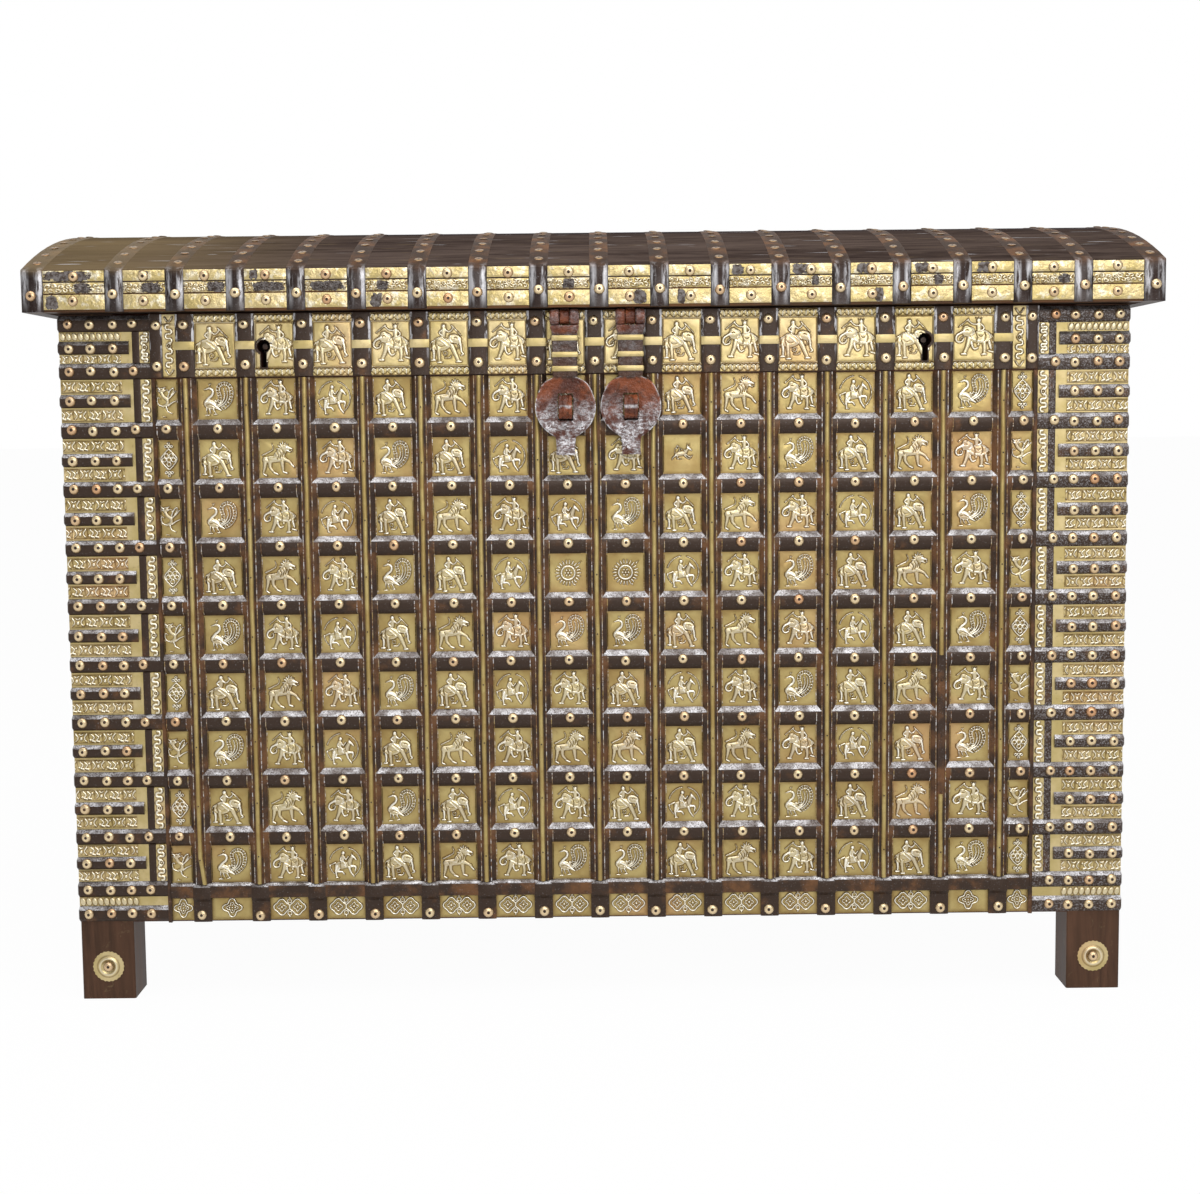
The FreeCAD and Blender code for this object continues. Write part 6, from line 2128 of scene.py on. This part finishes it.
class CHEST_OT_lid(Operator):
    """Dresses the lid's wood and makes its iron straps and brass bands"""

    bl_idname = "chest.lid"
    bl_label = "Lid"

    # How far under the lid's edge its straps turn over it, and where they end at the back
    TURN_OVER = 3
    BACK_END = 29
    # Rise of a strap's long edges, and the share of its half width that takes the painted highlight
    STRAP_EDGE = 0.8
    SHOULDER = (0.4, 0.95)
    # How far the lowest band laps over the lid's lower edge, and the bands' heights and gaps
    LIP_LAP = 3.4
    BANDS = (15.7 + LIP_LAP, 13.7, 13.7)
    BAND_GAP = 1.4
    BAND_BASE = 0.5
    # A place out of the bay, and a reach, for a band without a worn patch
    UNWORN = (9, 0.5)

    def execute(self, context):
        dress("lid_wood", "lid_planks", "lid_back_rail", "lid_lock_rail")
        dress("lip_wood", "lid_front_rail")
        dress("lid_end_wood", "lid_left_end", "lid_right_end")
        self.straps()
        self.bands(chosen("band_relief"))
        return {"FINISHED"}

    def straps(self):
        """Domed straps up the front, over the top and down to the hinges."""
        low, high = extent("lid_planks")
        edge = extent("lid_front_brass")[1].z
        foot = extent("lid_straps")[0].z
        middle, radius, swing = lid_arch()
        thin = Matrix.Diagonal((1, TOP_STRAP_SHARE, 1, 1))
        turn_over = edge - self.TURN_OVER
        places = [axes(Vector((0, low.y, z)), -RIGHTWARD, FORWARD) for z in np.linspace(foot, turn_over, 5)]
        for angle in np.linspace(-swing, swing, 25):
            outward = Vector((0, math.sin(angle), math.cos(angle)))
            places.append(axes(middle + outward * radius, -RIGHTWARD, outward) @ thin)
        for z in (turn_over, edge - self.BACK_END):
            places.append(axes(Vector((0, high.y, z)), -RIGHTWARD, -FORWARD))
        bm = bmesh.new()
        shoulder = bm.verts.layers.float.new("shoulder")
        for low, high in frame_boxes("lid_straps"):
            half = (high[0] - low[0]) / 2
            centre = (low[0] + high[0]) / 2
            count = len(bm.verts)
            outline = [(-half, -0.4), (-half, self.STRAP_EDGE)]
            for share in np.linspace(-0.86, 0.86, 6):
                round_off = math.sqrt(1 - abs(share) ** 2.4)
                outline.append((share * half, self.STRAP_EDGE + (STRAP_RISE - self.STRAP_EDGE) * round_off))
            outline += [(half, self.STRAP_EDGE), (half, -0.4)]
            shift = Matrix.Translation((centre, 0, 0))
            sweep(bm, outline, [shift @ place for place in places])
            bm.verts.ensure_lookup_table()
            for vert in bm.verts[count:]:
                vert[shoulder] = among(abs(vert.co.x - centre) / half, [self.SHOULDER])
        piece("lid_straps_domed", bm, "lid", ["lid_straps"], ["lid_iron"])

    def bands(self, rise):
        """Three brass bands in each bay of the lid's front, worn through in places."""
        boxes = frame_boxes("lid_front_brass")
        width = boxes[1][1][0] - boxes[1][0][0]
        sheets = [
            embossed_sheet(width, height, draw, rise * 0.8, bulge=0.9)
            for height, draw in zip(self.BANDS, (plain_sheet, lid_scroll, plain_sheet))
        ]
        bm = bmesh.new()
        along = bm.verts.layers.float.new("wear_along")
        across = bm.verts.layers.float.new("wear_across")
        for bay, (low, high) in enumerate(boxes):
            level = low[2] - self.LIP_LAP
            half = (high[0] - low[0]) / 2
            for band, (height, sheet) in enumerate(zip(self.BANDS, sheets)):
                base = np.array((low[0], low[1], level + self.BAND_BASE))
                top = np.array((high[0], high[1], level + height))
                count = len(bm.verts)
                stamp_in_box(bm, sheet, base, top, (width, height))
                bm.verts.ensure_lookup_table()
                place, reach = LID_WEAR.get((bay, band), self.UNWORN)
                for vert in bm.verts[count:]:
                    vert[along] = ((vert.co.x - low[0]) / half - 1 - place) / reach
                    vert[across] = (vert.co.z - level - height / 2) / (height * 0.46)
                level += height + self.BAND_GAP
        piece("lid_bands", bm, "lid", ["lid_front_brass"], ["chipped_brass"], EMBOSSED_CREASE)


class CHEST_OT_rosettes(Operator):
    """Makes the scalloped brass rosettes on the front legs"""

    bl_idname = "chest.rosettes"
    bl_label = "Leg rosettes"

    # Steps from the rim to the middle, scallops on half the rim, and radii of the raised ring and of the
    # soiling and painted shade round it
    STEPS = 16
    STEP = 1.3
    SCALLOPS = 12
    RING = 11
    RING_EDGE = 14.5

    def execute(self, context):
        bm = bmesh.new()
        for low, high in frame_boxes("leg_rosettes"):
            radius = (high[0] - low[0]) / 2
            stamp(bm, self.rosette(radius), Matrix.Translation(back_middle(low, high)) @ FACING_FRONT)
        piece(
            "leg_rosettes_scalloped", bm, "chest", ["leg_rosettes"], ["band_brass"], EMBOSSED_CREASE
        )
        return {"FINISHED"}

    def rosette(self, radius):
        """A template rosette that faces up, centred on its back."""
        bm = bmesh.new()
        bmesh.ops.create_circle(bm, cap_ends=True, segments=72, radius=radius)
        for _ in range(self.STEPS):
            middle = max(bm.faces, key=lambda face: len(face.verts))
            bmesh.ops.inset_region(bm, faces=[middle], thickness=self.STEP, use_boundary=True)
        relief = bm.verts.layers.float.new("relief")
        recess = bm.verts.layers.float.new("recess")
        for vert in bm.verts:
            reach = vert.co.xy.length
            scallop = abs(math.cos(self.SCALLOPS * math.atan2(vert.co.y, vert.co.x)))
            edge = (reach / radius) ** 6
            vert.co.xy *= 1 - 0.08 * (1 - scallop) * edge
            raised = hill(reach, self.RING, 2.2)
            # The raised ring is polished with a painted highlight; its edge and the scallops' gaps take
            # soiling and painted shade
            vert[relief] = 0.7 * raised
            vert[recess] = 0.8 * hill(reach, self.RING_EDGE, 1.3) + 0.5 * edge * (1 - scallop)
            vert.co.z = 0.8 + 2.0 * raised + 1.2 * math.cos(0.5 * math.pi * reach / radius)
        add_skirt(bm)
        bmesh.ops.recalc_face_normals(bm, faces=bm.faces)
        return template(bm)


def seen_rays(tree):
    """1 for rays from the camera, from polished metal or through glass, and 0 for the rest."""
    rays = tree.nodes.new("ShaderNodeLightPath")
    camera = Shade(tree, rays.outputs["Is Camera Ray"])
    polished = Shade(tree, rays.outputs["Is Glossy Ray"])
    through = Shade(tree, rays.outputs["Is Transmission Ray"])
    return (camera + polished + through).within(0, 1)


class CHEST_OT_stage(Operator):
    """Sets the floor, the soft lights and the camera"""

    bl_idname = "chest.stage"
    bl_label = "Stage"

    # The lamps: place and aim in metres, size in metres and power in watts
    LAMPS = {
        "overhead_softbox": ((0, -1.1, 2.9), (0, -0.35, 0.5), (3.2, 1.8), 54),
        "front_fill": ((0.8, -3.6, 1.9), (0, -0.3, 0.6), (3.4, 1.6), 62),
    }
    # The camera: place in metres, lens and film in millimetres, and its pan, tilt and roll in degrees
    PLACE = (0, -2.783, 0.7626)
    LENS = 56.3
    FILM = 36
    PAN = -0.09
    TILT = 84.6
    ROLL = -0.6
    # Half the floor's width in metres, and the share of white that the camera sees on it
    FLOOR = 60
    FLOOR_WHITE = 0.97
    # The sky's light, the light that the camera sees besides, how much of it polished metal misses in front,
    # and where that front side begins and ends
    SKY = 0.45
    SKY_SEEN = 0.55
    SKY_MISSED = 0.5
    SKY_FRONT = (-0.75, 0.1)

    def execute(self, context):
        scene = context.scene
        scene.view_settings.view_transform = "Standard"
        self.floor(scene)
        self.world(scene)
        for name, values in self.LAMPS.items():
            self.lamp(scene, name, *values)
        camera = bpy.data.objects.new("camera", bpy.data.cameras.new("camera"))
        camera.data.lens = self.LENS
        camera.data.sensor_width = self.FILM
        scene.collection.objects.link(camera)
        pan, tilt, roll = (
            Matrix.Rotation(math.radians(angle), 4, axis)
            for angle, axis in ((self.PAN, "Z"), (self.TILT, "X"), (self.ROLL, "Z"))
        )
        camera.matrix_world = Matrix.Translation(self.PLACE) @ (pan @ tilt) @ roll
        scene.camera = camera
        return {"FINISHED"}

    def floor(self, scene):
        """A wide pale floor that keeps the chest's shadow."""
        bm = bmesh.new()
        bmesh.ops.create_grid(bm, x_segments=1, y_segments=1, size=self.FLOOR)
        mesh = bpy.data.meshes.new("floor")
        bm.to_mesh(mesh)
        bm.free()
        floor = bpy.data.objects.new("floor", mesh)
        scene.collection.objects.link(floor)
        look = Look("pale_floor")
        look.finish({"Base Color": (0.85, 0.85, 0.85), "Roughness": 0.9, "Specular IOR Level": 0.0})
        glow = look.node("ShaderNodeEmission", sockets={"Color": (1, 1, 1), "Strength": 1.0})
        lit = Shade(look.tree, look.shader.outputs[0])
        white = seen_rays(look.tree) * self.FLOOR_WHITE
        merged = look.node("ShaderNodeMixShader", sockets={0: white, 1: lit, 2: glow})
        look.tree.links.new(merged.socket, look.tree.nodes["Material Output"].inputs["Surface"])
        mesh.materials.append(look.material)

    def world(self, scene):
        """An even soft sky that the camera sees as white, and the metal too but for the dim side in front."""
        world = bpy.data.worlds.new("studio")
        world.use_nodes = True
        scene.world = world
        tree = world.node_tree
        background = tree.nodes["Background"]
        background.inputs["Color"].default_value = (1, 1, 1, 1)
        rays = tree.nodes.new("ShaderNodeLightPath")
        polished = Shade(tree, rays.outputs["Is Glossy Ray"])
        place = tree.nodes.new("ShaderNodeTexCoord")
        split = tree.nodes.new("ShaderNodeSeparateXYZ")
        tree.links.new(place.outputs["Generated"], split.inputs["Vector"])
        front = 1 - Shade(tree, split.outputs["Y"]).within(*self.SKY_FRONT)
        light = seen_rays(tree) * self.SKY_SEEN + self.SKY - polished * front * self.SKY_MISSED
        feed(tree, background.inputs["Strength"], light)

    def lamp(self, scene, name, place, aim, size, power):
        """A soft rectangular lamp turned to a point."""
        data = bpy.data.lights.new(name, "AREA")
        data.shape = "RECTANGLE"
        data.size, data.size_y = size
        data.energy = power
        lamp = bpy.data.objects.new(name, data)
        facing = (Vector(place) - Vector(aim)).to_track_quat("Z", "Y")
        lamp.matrix_world = Matrix.Translation(place) @ facing.to_matrix().to_4x4()
        scene.collection.objects.link(lamp)


OPERATORS = (
    CHEST_OT_carcass, CHEST_OT_hardware, CHEST_OT_hasps, CHEST_OT_squares, CHEST_OT_narrow_squares,
    CHEST_OT_lattice, CHEST_OT_uprights, CHEST_OT_lines, CHEST_OT_beads, CHEST_OT_nails, CHEST_OT_frieze,
    CHEST_OT_bottom, CHEST_OT_corners, CHEST_OT_lid, CHEST_OT_rosettes, CHEST_OT_stage,
)


class CHEST_PT_panel(Panel):
    """Lists the chest's pieces with their sizes and colours"""

    bl_idname = "CHEST_PT_panel"
    bl_label = "Dowry chest"
    bl_space_type = "VIEW_3D"
    bl_region_type = "UI"
    bl_category = "Dowry chest"

    def draw(self, context):
        for group in (context.scene.chest_sizes, context.scene.chest_colours):
            for name in group.__annotations__:
                self.layout.prop(group, name)
        for operator in OPERATORS:
            self.layout.operator(operator.bl_idname)


CLASSES = (ChestSizes, ChestColours, *OPERATORS, CHEST_PT_panel)


def register():
    """Makes the sizes, colours, operators and panel known."""
    for item in CLASSES:
        bpy.utils.register_class(item)
    bpy.types.Scene.chest_sizes = PointerProperty(type=ChestSizes)
    bpy.types.Scene.chest_colours = PointerProperty(type=ChestColours)


def unregister():
    """Takes them away again."""
    del bpy.types.Scene.chest_colours
    del bpy.types.Scene.chest_sizes
    for item in reversed(CLASSES):
        bpy.utils.unregister_class(item)


def main():
    """Makes every piece and the stage."""
    register()
    for operator in OPERATORS:
        group, name = operator.bl_idname.split(".")
        getattr(getattr(bpy.ops, group), name)()


if __name__ == "__main__":
    main()
